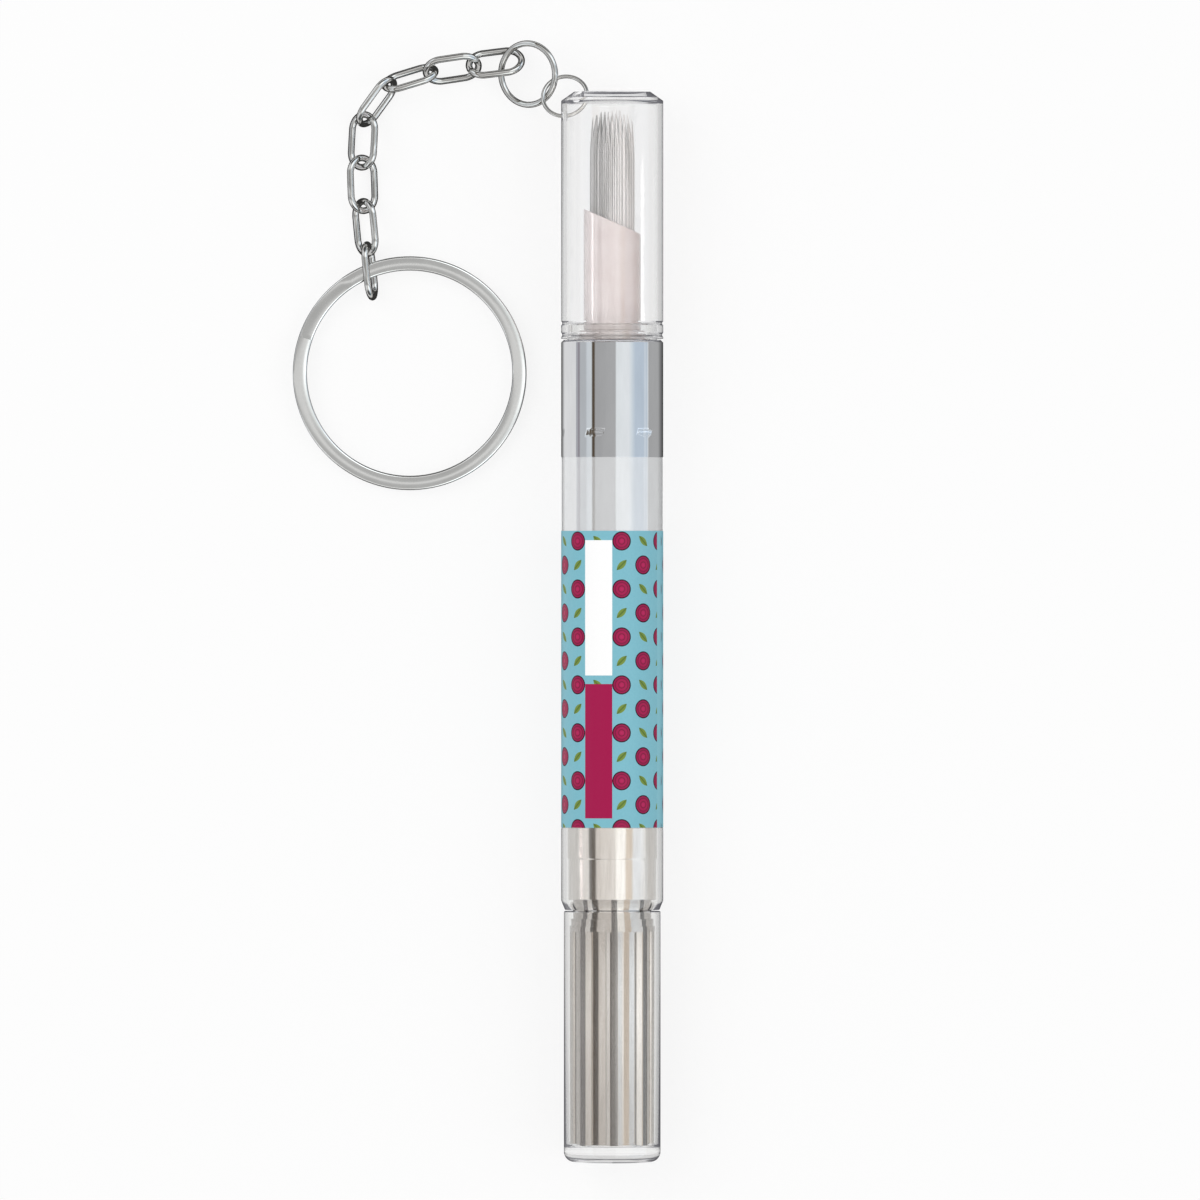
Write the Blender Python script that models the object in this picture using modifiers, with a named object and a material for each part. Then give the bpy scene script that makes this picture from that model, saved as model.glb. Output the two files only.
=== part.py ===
# Twist pen for cuticle oil, with a brush under a clear cap, on a chain with a split key ring.
# The pen lies on a table along +Y with its cap at +Y, and +Z is up.
# Stations along the pen are measured from the end of the knob.
import math
import random

import bmesh
import bpy
from mathutils import Matrix, Vector

# Whole pen
BODY_RADIUS = 0.0060
SIDES = 32
INNER_SIDES = 24
ROD_SIDES = 12
RUN_GAP = 0.00015
SEAT_GAP = 0.0003
SKIN_GAP = 0.00002
OVERRUN = 0.0010
MERGE_DISTANCE = 0.000001
UP_TURN = -90.0
SHARP_ANGLE = 35.0
PRINT_DIGITS = 7

# Twist knob, a clear sleeve with a thick closed end
KNOB_STEP = 0.00032
KNOB_WALL = 0.00048
KNOB_BASE = 0.0019
KNOB_CORNER = 0.0012
KNOB_CORNER_STEPS = 4

# Fluted insert in the knob
RIB_COUNT = 8
RIB_TURN = 4.0
RIB_GAP = 0.0002
RIB_DEPTH = 0.00055
RIB_SHOULDER = 0.00175
FLUTE_WIDTH = 0.0019
FLUTE_TOP_INSET = 0.00065
BAND_LENGTH = 0.00085
BAND_STEP = 0.00015
FOOT_DEPTH = 0.0005
FOOT_STEP = 0.00015
NECK_WALL = 0.0010
NECK_REACH = 0.0035

# Drive bush with a slot for the rod's flats
BUSH_LENGTH = 0.0049
BUSH_LEDGE = 0.0005
BUSH_FLANGE = 0.0014

# One-way clicking teeth
TOOTH_COUNT = 8
TOOTH_DEPTH = 0.00045
TOOTH_SIDE = 0.0009
TOOTH_SLANT = 24.0
CLICK_LENGTH = 0.00175

# Clear barrel
TAPER_LENGTH = 0.0011
TAPER_STEP = 0.00045
LOWER_SHOW = 0.00855
BARREL_LOW_WALL = 0.0006
MECHANISM_DEPTH = 0.01705
CHAMBER_WALL = 0.0013
BARREL_NECK_WALL = 0.00055
BARREL_NECK_SHOW = 0.00185

# Metallised sleeve round the mechanism
SLEEVE_WALL = 0.0005
SLEEVE_START = 0.00125
SLEEVE_STEP = 0.0001
SLEEVE_STEP_PLACE = 0.0047

# Nut with a helical lug
NUT_SPACE = 0.0004
NUT_FLANGE = 0.0013
NUT_WALL = 0.00215
THREAD_PLAY = 0.00025
LUG_WIDTH = 0.0013
LUG_TURNS = 0.85
LUG_INSET = 0.0020

# Threaded rod
LEAD = 0.0030
STROKE = 0.0300
THREAD_DEPTH = 0.0007
THREAD_WIDTH = 0.0009
THREAD_INSET = 0.0009
THREAD_STEPS = 8
ROD_CORE_SHARE = 0.8
FLAT_DEPTH = 0.0006
ROD_GRIP = 0.0021
ROD_BASE_GAP = 0.0007
ROD_NECK_STEP = 0.00015
ROD_NECK_LENGTH = 0.0019
ROD_HEAD_STEP = 0.00035
ROD_HEAD_LENGTH = 0.0024

# Piston
PISTON_LENGTH = 0.0080
PISTON_GAP = 0.0001
PISTON_REST = 0.0005
PISTON_LIP = 0.0012
PISTON_WAIST = 0.0004
PISTON_MOUTH = 0.0008

# Printed label film
FILM_THICKNESS = 0.00005
FILM_END_GAP = 0.00005
FILM_PRINT = 0.0347
FILM_MARGIN = 0.0086
FILM_SEAM = 0.0003
FILM_SEAM_TURN = 66.0

# Silver collar
COLLAR_SHOW = 0.01375
COLLAR_UNDER_FILM = 0.0126
COLLAR_CORNER = 0.0003
MARK_COUNT = 6
MARK_TURN = -20.0
MARK_WIDTH = 0.0021
MARK_HEIGHT = 0.0008
MARK_DEPTH = 0.00012
MARK_PLACE = 0.0109
MARK_SIDES = 12

# Nozzle seat
SEAT_PLUG_LENGTH = 0.0085
SEAT_RIB = 0.0011
SEAT_RIB_STEP = 0.0003
BOSS_STEP = 0.00076
BOSS_SHOW = 0.0010
SOCKET_DEPTH = 0.0045

# Brush holder
HOLDER_STEP = 0.00058
HOLDER_LENGTH = 0.01405
HOLDER_WALL = 0.00061
HOLDER_SLANT = 24.2
SPIGOT_STEP = 0.00111
CUP_PLACE = 0.0060

# Feed tube
TUBE_RADIUS = 0.0006
TUBE_BORE = 0.00035
TUBE_PAST_CUP = 0.0049

# Brush bristles
BRISTLE_LENGTH = 0.0194
BRISTLE_RADIUS = 0.000085
BRISTLE_SPACING = 0.000238
BRISTLE_ROW = 0.00026
BRISTLE_EDGE = 0.00006
BRISTLE_SIDES = 3
BACKING_LENGTH = 0.0015
TUFT_TAPER_LENGTH = 0.0052
TUFT_DOME = 0.0016
TUFT_JITTER = 0.0009
TUFT_WIDTH_SHARE = 0.76
TUFT_DEPTH_SHARE = 0.50
TUFT_SEED = 7
TUFT_TURN = 3.7
TUFT_PHASE_SHARE = 0.618

# Clear cap
CAP_LENGTH = 0.0289
CAP_WALL = 0.0006
CAP_END = 0.0010
CAP_CHAMFER_SIDE = 0.0015
CAP_CHAMFER_END = 0.00105
CAP_INNER_CORNER = 0.0004
CAP_GROOVE_DEPTH = 0.00012
CAP_GROOVE_WIDTH = 0.0005
CAP_GROOVE_SLOPE = 0.00015
CAP_LOW_GROOVE = 0.0002
CAP_HIGH_GROOVE = 0.00155
CAP_HOLE_PLAY = 0.00035
CAP_HOLE_SIDES = 12
CAP_HOLE_SEARCH = 100.0
CROSSING_STEPS = 60

# Jump rings, the small one through the corner of the cap
SMALL_RING_RADIUS = 0.00262
SMALL_RING_WIRE = 0.0005
SMALL_RING_IN_SIDE = 0.00047
SMALL_RING_IN_END = 0.0005
SMALL_RING_DROP = 0.0007
SMALL_RING_HEADING = 148.5
SMALL_RING_PITCH = -20.0
SMALL_RING_ROLL = 18.0
LARGE_RING_RADIUS = 0.00362
LARGE_RING_WIRE = 0.00075
LARGE_RING_HEADING = 148.5
LARGE_RING_PITCH = -23.0
LARGE_RING_ROLL = -18.0
RING_STEPS = 20
RING_CUT = 0.0001
SMALL_RING_CUT_TURN = 90.0
LARGE_RING_CUT_TURN = 126.0
WIRE_RESOLUTION = 2

# Oval chain links, each lying rolled to one side on the table
LINK_LENGTH = 0.0070
LINK_WIDTH = 0.0045
LINK_WIRE = 0.0008
LINK_SLACK = 0.0003
LINK_ARC_STEPS = 6
FIRST_LINK_SLACK = 0.00142
FIRST_LINK_TURN = 5.0
LINK_HEADINGS = (187.0, 188.4, 197.0, 234.0, 267.0, 272.0, 275.5, 276.0)
LINK_ROLLS = (45.0, -48.0, 64.0, -64.0, 44.0, -42.0, 56.0, -78.0)

# Split key ring, two flat turns with a crossing step
KEY_RING_RADIUS = 0.01288
KEY_RING_WIDTH = 0.00165
KEY_RING_TURN = 0.0006
KEY_RING_GAP = 0.00042
KEY_RING_SEAT = 0.0003
KEY_RING_HEADING = 291.3
KEY_RING_STEPS = 40
KEY_RING_STEP_TURN = 36.0
KEY_RING_STEP_PLACE = 230.0

# Radii that follow from the sizes above
KNOB_RADIUS = BODY_RADIUS - KNOB_STEP
CHAMBER_RADIUS = BODY_RADIUS - CHAMBER_WALL
NECK_OUTER = CHAMBER_RADIUS + BARREL_NECK_WALL
SLEEVE_OUTER = BODY_RADIUS - BARREL_LOW_WALL - RUN_GAP
SLEEVE_INNER = SLEEVE_OUTER - SLEEVE_WALL
BORE_FIT = SLEEVE_INNER - RUN_GAP
BUSH_RADIUS = BORE_FIT - NECK_WALL - RIB_GAP
INSERT_BORE = BUSH_RADIUS - BUSH_LEDGE
THREAD_BORE = BORE_FIT - NUT_WALL
THREAD_RADIUS = THREAD_BORE - THREAD_PLAY
THREAD_CORE = THREAD_RADIUS - THREAD_DEPTH
FLAT_HALF = THREAD_RADIUS - FLAT_DEPTH
ROD_NECK_RADIUS = THREAD_CORE - ROD_NECK_STEP
ROD_HEAD_RADIUS = THREAD_RADIUS - ROD_HEAD_STEP
BOSS_RADIUS = CHAMBER_RADIUS - BOSS_STEP
HOLDER_RADIUS = BOSS_RADIUS - HOLDER_STEP
SPIGOT_RADIUS = HOLDER_RADIUS - SPIGOT_STEP
CUP_RADIUS = HOLDER_RADIUS - HOLDER_WALL
TUBE_HOLE = TUBE_RADIUS + RUN_GAP
LABEL_RECESS = FILM_THICKNESS + SKIN_GAP

# Stations along the pen that follow from the sizes above
PEN_HEIGHT = BODY_RADIUS * math.cos(math.pi / SIDES)
ROD_START = KNOB_BASE + ROD_BASE_GAP
FLANGE_TOP = ROD_START + STROKE + ROD_GRIP
FLANGE_START = FLANGE_TOP - BUSH_FLANGE
NECK_TOP = FLANGE_START - SEAT_GAP
KNOB_LENGTH = NECK_TOP - NECK_REACH
BARREL_START = KNOB_LENGTH + RUN_GAP
FILM_START = BARREL_START + TAPER_LENGTH + LOWER_SHOW
FILM_END = FILM_START + FILM_PRINT + FILM_MARGIN
COLLAR_START = FILM_END - COLLAR_UNDER_FILM
COLLAR_TOP = FILM_END + COLLAR_SHOW
CAP_START = COLLAR_TOP + RUN_GAP
CAP_TOP = CAP_START + CAP_LENGTH
SHOULDER = BARREL_START + MECHANISM_DEPTH
CLICK_START = FLANGE_TOP + RUN_GAP
NUT_START = CLICK_START + CLICK_LENGTH + NUT_SPACE
NUT_TOP = SHOULDER - SEAT_GAP
SLEEVE_TOP = NUT_TOP - NUT_FLANGE - RUN_GAP
PISTON_START = SHOULDER + PISTON_REST
HEAD_START = PISTON_START + PISTON_MOUTH + SEAT_GAP
HEAD_TOP = HEAD_START + ROD_HEAD_LENGTH
THREAD_START = ROD_START + THREAD_INSET
THREAD_END = HEAD_START - ROD_NECK_LENGTH
SEAT_TOP = COLLAR_TOP + RUN_GAP
HOLDER_START = SEAT_TOP + BOSS_SHOW + RUN_GAP
CUP_FLOOR = HOLDER_START + CUP_PLACE
BACKING_START = CUP_FLOOR + SEAT_GAP
BACKING_TOP = BACKING_START + BACKING_LENGTH
SEAT_START = SEAT_TOP - SEAT_PLUG_LENGTH


def clear_scene():
    for item in list(bpy.data.objects):
        bpy.data.objects.remove(item, do_unlink=True)


def add_collection(name):
    collection = bpy.data.collections.new(name)
    bpy.context.scene.collection.children.link(collection)
    return collection


clear_scene()
parts = add_collection("cuticle_oil_keyring")
cutters = add_collection("cutters")
world_of = {}


def material(name, color, roughness, metallic=0.0, transmission=0.0):
    made = bpy.data.materials.new(name)
    made.use_nodes = True
    shader = made.node_tree.nodes["Principled BSDF"]
    shader.inputs["Base Color"].default_value = (*color, 1.0)
    shader.inputs["Roughness"].default_value = roughness
    shader.inputs["Metallic"].default_value = metallic
    shader.inputs["Transmission Weight"].default_value = transmission
    return made


def place(item, world, parent=None):
    world_of[item.name] = world
    if parent:
        item.parent = parent
        world = world_of[parent.name].inverted() @ world
    item.matrix_local = world


def add_empty(name, world, parent=None):
    item = bpy.data.objects.new(name, None)
    item.empty_display_size = BODY_RADIUS
    parts.objects.link(item)
    place(item, world, parent)
    return item


def add_part(name, data, finish, world, parent):
    item = bpy.data.objects.new(name, data)
    if finish:
        data.materials.append(finish)
    parts.objects.link(item)
    place(item, world, parent)
    return item


def add_cutter(name, data, world, parent):
    item = bpy.data.objects.new(name, data)
    cutters.objects.link(item)
    place(item, world, parent)
    item.hide_render = True
    item.display_type = "WIRE"
    return item


def add_boolean(item, other, operation="DIFFERENCE"):
    cut = item.modifiers.new(other.name, "BOOLEAN")
    cut.operation = operation
    cut.object = other
    cut.solver = "EXACT"


def profile_mesh(name, profile, closed, sides):
    # The profile stands half a facet round, so that a flat and not an edge lies down
    turn = math.pi / sides
    points = [(r * math.cos(turn), r * math.sin(turn), z) for r, z in profile]
    edges = [(i, i + 1) for i in range(len(points) - 1)]
    if closed:
        edges.append((len(points) - 1, 0))
    mesh = bpy.data.meshes.new(name)
    mesh.from_pydata(points, edges, [])
    return mesh


def turned(name, profile, finish, parent, closed=True, sides=SIDES):
    item = add_part(name, profile_mesh(name, profile, closed, sides), finish, PEN_AXIS, parent)
    screw = item.modifiers.new("Turned", "SCREW")
    screw.angle = math.tau
    screw.steps = sides
    screw.render_steps = sides
    screw.use_merge_vertices = True
    screw.merge_threshold = MERGE_DISTANCE
    return item


def mesh_from(name, fill):
    shape = bmesh.new()
    fill(shape)
    bmesh.ops.recalc_face_normals(shape, faces=shape.faces)
    mesh = bpy.data.meshes.new(name)
    shape.to_mesh(mesh)
    shape.free()
    return mesh


def box(shape, low, high, turn=None):
    # A box between two corners, then turned by a matrix about the pen's axis or its own place
    size = Vector(high) - Vector(low)
    middle = (Vector(high) + Vector(low)) / 2
    matrix = Matrix.Translation(middle) @ Matrix.Diagonal((*size, 1.0))
    bmesh.ops.create_cube(shape, size=1.0, matrix=(turn or Matrix()) @ matrix)


def around(angle):
    return Matrix.Rotation(math.radians(angle), 4, "Z")


def join_rings(shape, rings):
    # Sides between one ring of corners and the next
    for low, high in zip(rings, rings[1:]):
        for i in range(len(low)):
            j = (i + 1) % len(low)
            shape.faces.new((low[i], low[j], high[j], high[i]))


def helix_rib(shape, inner, outer, width, start, turns):
    # A rectangular rib wound about Z, closed by a face at each end
    count = max(2, round(turns * THREAD_STEPS))
    rings = []
    for i in range(count + 1):
        angle = math.tau * turns * i / count
        height = start + LEAD * turns * i / count
        corners = ((inner, -width / 2), (outer, -width / 2), (outer, width / 2), (inner, width / 2))
        rings.append([shape.verts.new((r * math.cos(angle), r * math.sin(angle), height + z))
                      for r, z in corners])
    join_rings(shape, rings)
    shape.faces.new(rings[0])
    shape.faces.new(rings[-1])


def clear_plastic(name):
    return material(name, (0.93, 0.93, 0.93), 0.05, transmission=0.9)


def frame_at(place_point, heading, pitch, roll):
    # X points along the piece, Y across it in its own plane, Z is the plane's normal
    turn = Matrix.Rotation(math.radians(heading), 4, "Z")
    turn = turn @ Matrix.Rotation(math.radians(-pitch), 4, "Y")
    turn = turn @ Matrix.Rotation(math.radians(roll), 4, "X")
    return Matrix.Translation(place_point) @ turn


PEN_AXIS = Matrix.Translation((0, 0, PEN_HEIGHT)) @ Matrix.Rotation(-math.pi / 2, 4, "X")


def make_knob(pen):
    inner = KNOB_RADIUS - KNOB_WALL
    corner = []
    for i in range(KNOB_CORNER_STEPS + 1):
        angle = math.pi / 2 * i / KNOB_CORNER_STEPS
        corner.append((KNOB_RADIUS - KNOB_CORNER * (1 - math.cos(angle)),
                       KNOB_CORNER * (1 - math.sin(angle))))
    profile = [(0, KNOB_BASE), (inner, KNOB_BASE), (inner, KNOB_LENGTH), (KNOB_RADIUS, KNOB_LENGTH)]
    profile += corner + [(0, 0)]
    return turned("knob_sleeve", profile, clear_plastic("knob_clear_plastic"), pen, closed=False)


def make_insert(knob, pen):
    rib = KNOB_RADIUS - KNOB_WALL - RIB_GAP
    core = rib - RIB_DEPTH
    start = KNOB_BASE + RIB_GAP
    rib_top = KNOB_LENGTH - RIB_SHOULDER
    band_top = rib_top + BAND_LENGTH
    seat = BUSH_RADIUS + RIB_GAP
    seat_floor = FLANGE_START - BUSH_LENGTH - SEAT_GAP
    profile = [
        (BORE_FIT, NECK_TOP), (BORE_FIT, band_top), (rib - BAND_STEP, band_top),
        (rib - BAND_STEP, rib_top), (rib, rib_top), (rib, start), (core + FOOT_STEP, start),
        (core + FOOT_STEP, start + FOOT_DEPTH), (INSERT_BORE, start + FOOT_DEPTH),
        (INSERT_BORE, seat_floor), (seat, seat_floor), (seat, NECK_TOP)]
    finish = material("insert_silver_plastic", (0.72, 0.71, 0.69), 0.25, metallic=0.9)
    insert = turned("knob_insert", profile, finish, knob, sides=INNER_SIDES)

    def flutes(shape):
        for i in range(RIB_COUNT):
            turn = around(UP_TURN + RIB_TURN + 360 * (i + 1 / 2) / RIB_COUNT)
            low = (core, -FLUTE_WIDTH / 2, start - OVERRUN)
            high = (rib + OVERRUN, FLUTE_WIDTH / 2, rib_top - FLUTE_TOP_INSET)
            box(shape, low, high, turn)

    add_boolean(insert, add_cutter("flute_cutter", mesh_from("flutes", flutes), PEN_AXIS, pen))


def tooth_cutter(name, face, side, outer, parent):
    # Slanted bars cut steep-sided notches across a ring's face
    def bars(shape):
        reach = TOOTH_SIDE / 2
        for i in range(TOOTH_COUNT):
            turn = around(360 * i / TOOTH_COUNT) @ Matrix.Translation((0, 0, face))
            slant = Matrix.Rotation(math.radians(TOOTH_SLANT * side), 4, "X")
            lift = Matrix.Translation((0, 0, side * (tooth_rise(reach) - TOOTH_DEPTH)))
            low = (THREAD_RADIUS, -reach, -reach)
            high = (outer + OVERRUN, reach, reach)
            box(shape, low, high, turn @ lift @ slant)

    return add_cutter(name, mesh_from(name, bars), PEN_AXIS, parent)


def tooth_rise(reach):
    # How far a slanted bar's lowest edge lies from its middle
    slant = math.radians(TOOTH_SLANT)
    return reach * (math.cos(slant) + math.sin(slant))


def make_bush(knob, pen):
    flange_edge = BORE_FIT - SEAT_GAP
    profile = [(0, FLANGE_TOP), (flange_edge, FLANGE_TOP), (flange_edge, FLANGE_START),
               (BUSH_RADIUS, FLANGE_START), (BUSH_RADIUS, FLANGE_START - BUSH_LENGTH),
               (0, FLANGE_START - BUSH_LENGTH)]
    finish = material("bush_acetal", (0.85, 0.85, 0.83), 0.4)
    bush = turned("drive_bush", profile, finish, knob, closed=False, sides=INNER_SIDES)
    low_end = FLANGE_START - BUSH_LENGTH - OVERRUN
    length = FLANGE_TOP + OVERRUN - low_end

    def slot(shape):
        middle = Matrix.Translation((0, 0, low_end + length / 2))
        radius = THREAD_BORE
        bmesh.ops.create_cone(shape, cap_ends=True, segments=ROD_SIDES, radius1=radius,
                              radius2=radius, depth=length, matrix=middle)

    def slab(shape):
        half = FLAT_HALF + RUN_GAP
        wide = THREAD_RADIUS + OVERRUN
        box(shape, (-half, -wide, low_end - OVERRUN), (half, wide, low_end + length + OVERRUN))

    slot_item = add_cutter("slot_cutter", mesh_from("slot", slot), PEN_AXIS, pen)
    slab_item = add_cutter("slot_slab", mesh_from("slot_slab", slab), PEN_AXIS, pen)
    add_boolean(slot_item, slab_item, "INTERSECT")
    add_boolean(bush, slot_item)
    add_boolean(bush, tooth_cutter("bush_teeth", FLANGE_TOP, 1, flange_edge, pen))


def make_click_ring(pen):
    top = CLICK_START + CLICK_LENGTH
    profile = [(BORE_FIT, top), (BORE_FIT, CLICK_START), (INSERT_BORE, CLICK_START), (INSERT_BORE, top)]
    finish = material("click_acetal", (0.8, 0.8, 0.8), 0.4)
    ring = turned("click_ring", profile, finish, pen, sides=INNER_SIDES)
    add_boolean(ring, tooth_cutter("click_teeth", CLICK_START, -1, BORE_FIT, pen))


def make_ratchet_sleeve(pen):
    start = BARREL_START + SLEEVE_START
    step = start + SLEEVE_STEP_PLACE
    narrow = SLEEVE_OUTER - SLEEVE_STEP
    profile = [(SLEEVE_OUTER, SLEEVE_TOP), (SLEEVE_OUTER, step + SLEEVE_STEP), (narrow, step),
               (narrow, start), (SLEEVE_INNER, start), (SLEEVE_INNER, SLEEVE_TOP)]
    finish = material("sleeve_satin_silver", (0.75, 0.74, 0.72), 0.3, metallic=0.9)
    turned("ratchet_sleeve", profile, finish, pen, sides=INNER_SIDES)


def make_nut(pen):
    flange = NUT_TOP - NUT_FLANGE
    profile = [(SLEEVE_OUTER, NUT_TOP), (SLEEVE_OUTER, flange), (BORE_FIT, flange),
               (BORE_FIT, NUT_START), (THREAD_BORE, NUT_START), (THREAD_BORE, NUT_TOP)]
    finish = material("nut_acetal", (0.82, 0.82, 0.8), 0.4)
    nut = turned("thread_nut", profile, finish, pen, sides=INNER_SIDES)
    turns_below = math.ceil((NUT_START + LUG_INSET - THREAD_START) / LEAD)
    start = THREAD_START + LEAD * turns_below + LEAD / 2

    def lug(shape):
        helix_rib(shape, THREAD_CORE + THREAD_PLAY, THREAD_BORE + OVERRUN, LUG_WIDTH, start, LUG_TURNS)

    add_boolean(nut, add_cutter("nut_lug", mesh_from("nut_lug", lug), PEN_AXIS, pen), "UNION")


def make_piston(pen):
    outer = CHAMBER_RADIUS - PISTON_GAP
    waist = outer - PISTON_WAIST
    top = PISTON_START + PISTON_LENGTH
    mouth = ROD_NECK_RADIUS + THREAD_PLAY
    socket = ROD_HEAD_RADIUS + THREAD_PLAY
    socket_start = PISTON_START + PISTON_MOUTH
    socket_top = HEAD_TOP + SEAT_GAP
    profile = [(0, top), (outer, top), (outer, top - PISTON_LIP), (waist, top - PISTON_LIP - PISTON_WAIST),
               (waist, PISTON_START + PISTON_LIP + PISTON_WAIST), (outer, PISTON_START + PISTON_LIP),
               (outer, PISTON_START), (mouth, PISTON_START), (mouth, socket_start),
               (socket, socket_start), (socket, socket_top), (0, socket_top)]
    finish = material("piston_polyethylene", (0.88, 0.88, 0.86), 0.5)
    return turned("piston", profile, finish, pen, closed=False, sides=INNER_SIDES)


def make_rod(piston, pen):
    profile = [(0, HEAD_TOP), (ROD_HEAD_RADIUS, HEAD_TOP), (ROD_HEAD_RADIUS, HEAD_START),
               (ROD_NECK_RADIUS, HEAD_START), (ROD_NECK_RADIUS, THREAD_END), (THREAD_CORE, THREAD_END),
               (THREAD_CORE, ROD_START), (0, ROD_START)]
    finish = material("rod_white_plastic", (0.85, 0.85, 0.85), 0.4)
    rod = turned("screw_rod", profile, finish, piston, closed=False, sides=ROD_SIDES)
    turns = (THREAD_END - THREAD_WIDTH - THREAD_START) / LEAD

    def thread(shape):
        helix_rib(shape, THREAD_CORE * ROD_CORE_SHARE, THREAD_RADIUS, THREAD_WIDTH, THREAD_START, turns)

    def slab(shape):
        wide = THREAD_RADIUS + OVERRUN
        box(shape, (-FLAT_HALF, -wide, ROD_START - OVERRUN), (FLAT_HALF, wide, THREAD_END - RUN_GAP))

    thread_item = add_cutter("rod_thread", mesh_from("rod_thread", thread), PEN_AXIS, pen)
    slab_item = add_cutter("rod_slab", mesh_from("rod_slab", slab), PEN_AXIS, pen)
    add_boolean(thread_item, slab_item, "INTERSECT")
    add_boolean(rod, thread_item, "UNION")


def make_barrel(pen):
    recess = BODY_RADIUS - LABEL_RECESS
    bore = BODY_RADIUS - BARREL_LOW_WALL
    top = COLLAR_TOP + BARREL_NECK_SHOW
    shoulder = COLLAR_START - RUN_GAP
    profile = [(NECK_OUTER, top), (NECK_OUTER, shoulder), (recess, shoulder),
               (recess, FILM_START - FILM_END_GAP), (BODY_RADIUS, FILM_START - FILM_END_GAP),
               (BODY_RADIUS, BARREL_START + TAPER_LENGTH), (BODY_RADIUS - TAPER_STEP, BARREL_START),
               (bore, BARREL_START), (bore, SHOULDER), (CHAMBER_RADIUS, SHOULDER), (CHAMBER_RADIUS, top)]
    turned("barrel_tube", profile, clear_plastic("barrel_clear_plastic"), pen)


def make_label(pen):
    inner = BODY_RADIUS - FILM_THICKNESS
    profile = [(BODY_RADIUS, FILM_END), (BODY_RADIUS, FILM_START), (inner, FILM_START), (inner, FILM_END)]
    label = turned("label_sleeve", profile, material("label_film", (0.21, 0.51, 0.6), 0.3), pen)

    def seam(shape):
        low = (inner - OVERRUN, -FILM_SEAM / 2, FILM_START - OVERRUN)
        high = (BODY_RADIUS + OVERRUN, FILM_SEAM / 2, FILM_END + OVERRUN)
        box(shape, low, high, around(UP_TURN + FILM_SEAM_TURN))

    add_boolean(label, add_cutter("seam_cutter", mesh_from("seam", seam), PEN_AXIS, pen))


def make_collar(pen):
    inner = NECK_OUTER + RUN_GAP
    recess = BODY_RADIUS - LABEL_RECESS
    step = FILM_END + FILM_END_GAP
    profile = [(BODY_RADIUS - COLLAR_CORNER, COLLAR_TOP), (BODY_RADIUS, COLLAR_TOP - COLLAR_CORNER),
               (BODY_RADIUS, step), (recess, step), (recess, COLLAR_START), (inner, COLLAR_START),
               (inner, COLLAR_TOP)]
    finish = material("collar_metallised_silver", (0.62, 0.63, 0.65), 0.12, metallic=1.0)
    collar = turned("silver_collar", profile, finish, pen)

    def marks(shape):
        for i in range(MARK_COUNT):
            turn = around(UP_TURN + MARK_TURN + 360 * i / MARK_COUNT)
            out = Matrix.Translation((BODY_RADIUS - MARK_DEPTH + OVERRUN / 2, 0, COLLAR_TOP - MARK_PLACE))
            size = Matrix.Diagonal((1.0, MARK_WIDTH / 2, MARK_HEIGHT / 2, 1.0))
            stand = Matrix.Rotation(math.pi / 2, 4, "Y")
            bmesh.ops.create_cone(shape, cap_ends=True, segments=MARK_SIDES, radius1=1.0, radius2=1.0,
                                  depth=OVERRUN, matrix=turn @ out @ size @ stand)

    add_boolean(collar, add_cutter("mark_cutter", mesh_from("marks", marks), PEN_AXIS, pen))


def make_seat(pen):
    plug = CHAMBER_RADIUS - RUN_GAP
    waist = plug - SEAT_RIB_STEP
    floor = SEAT_TOP + BOSS_SHOW - SOCKET_DEPTH
    socket = SPIGOT_RADIUS + RUN_GAP
    profile = [(BOSS_RADIUS, SEAT_TOP + BOSS_SHOW), (BOSS_RADIUS, SEAT_TOP), (plug, SEAT_TOP),
               (plug, SEAT_TOP - SEAT_RIB), (waist, SEAT_TOP - SEAT_RIB - SEAT_RIB_STEP),
               (waist, SEAT_START + SEAT_RIB + SEAT_RIB_STEP), (plug, SEAT_START + SEAT_RIB),
               (plug, SEAT_START), (TUBE_HOLE, SEAT_START), (TUBE_HOLE, floor), (socket, floor),
               (socket, SEAT_TOP + BOSS_SHOW)]
    finish = material("seat_polypropylene", (0.78, 0.72, 0.7), 0.35)
    turned("nozzle_seat", profile, finish, pen, sides=INNER_SIDES)


def make_holder(pen):
    top = HOLDER_START + HOLDER_LENGTH
    spigot_start = SEAT_TOP + BOSS_SHOW - SOCKET_DEPTH + SEAT_GAP
    profile = [(HOLDER_RADIUS, top + OVERRUN), (HOLDER_RADIUS, HOLDER_START), (SPIGOT_RADIUS, HOLDER_START),
               (SPIGOT_RADIUS, spigot_start), (TUBE_HOLE, spigot_start), (TUBE_HOLE, CUP_FLOOR),
               (CUP_RADIUS, CUP_FLOOR), (CUP_RADIUS, top + OVERRUN)]
    finish = material("holder_polypropylene", (0.82, 0.77, 0.76), 0.3)
    holder = turned("brush_holder", profile, finish, pen, sides=INNER_SIDES)

    def slant(shape):
        # The cutting plane starts at the high side's rim, on the left as the pen is seen
        turn = Matrix.Translation((-HOLDER_RADIUS, 0, top))
        turn = turn @ Matrix.Rotation(math.radians(HOLDER_SLANT), 4, "Y")
        reach = HOLDER_LENGTH
        box(shape, (-reach, -reach, 0), (reach, reach, reach), turn)

    add_boolean(holder, add_cutter("slant_cutter", mesh_from("slant", slant), PEN_AXIS, pen))


def make_feed_tube(pen):
    start = SEAT_START + SEAT_GAP
    top = CUP_FLOOR + TUBE_PAST_CUP
    profile = [(TUBE_RADIUS, top), (TUBE_RADIUS, start), (TUBE_BORE, start), (TUBE_BORE, top)]
    finish = material("tube_white_plastic", (0.85, 0.85, 0.85), 0.4)
    turned("feed_tube", profile, finish, pen, sides=ROD_SIDES)


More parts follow.
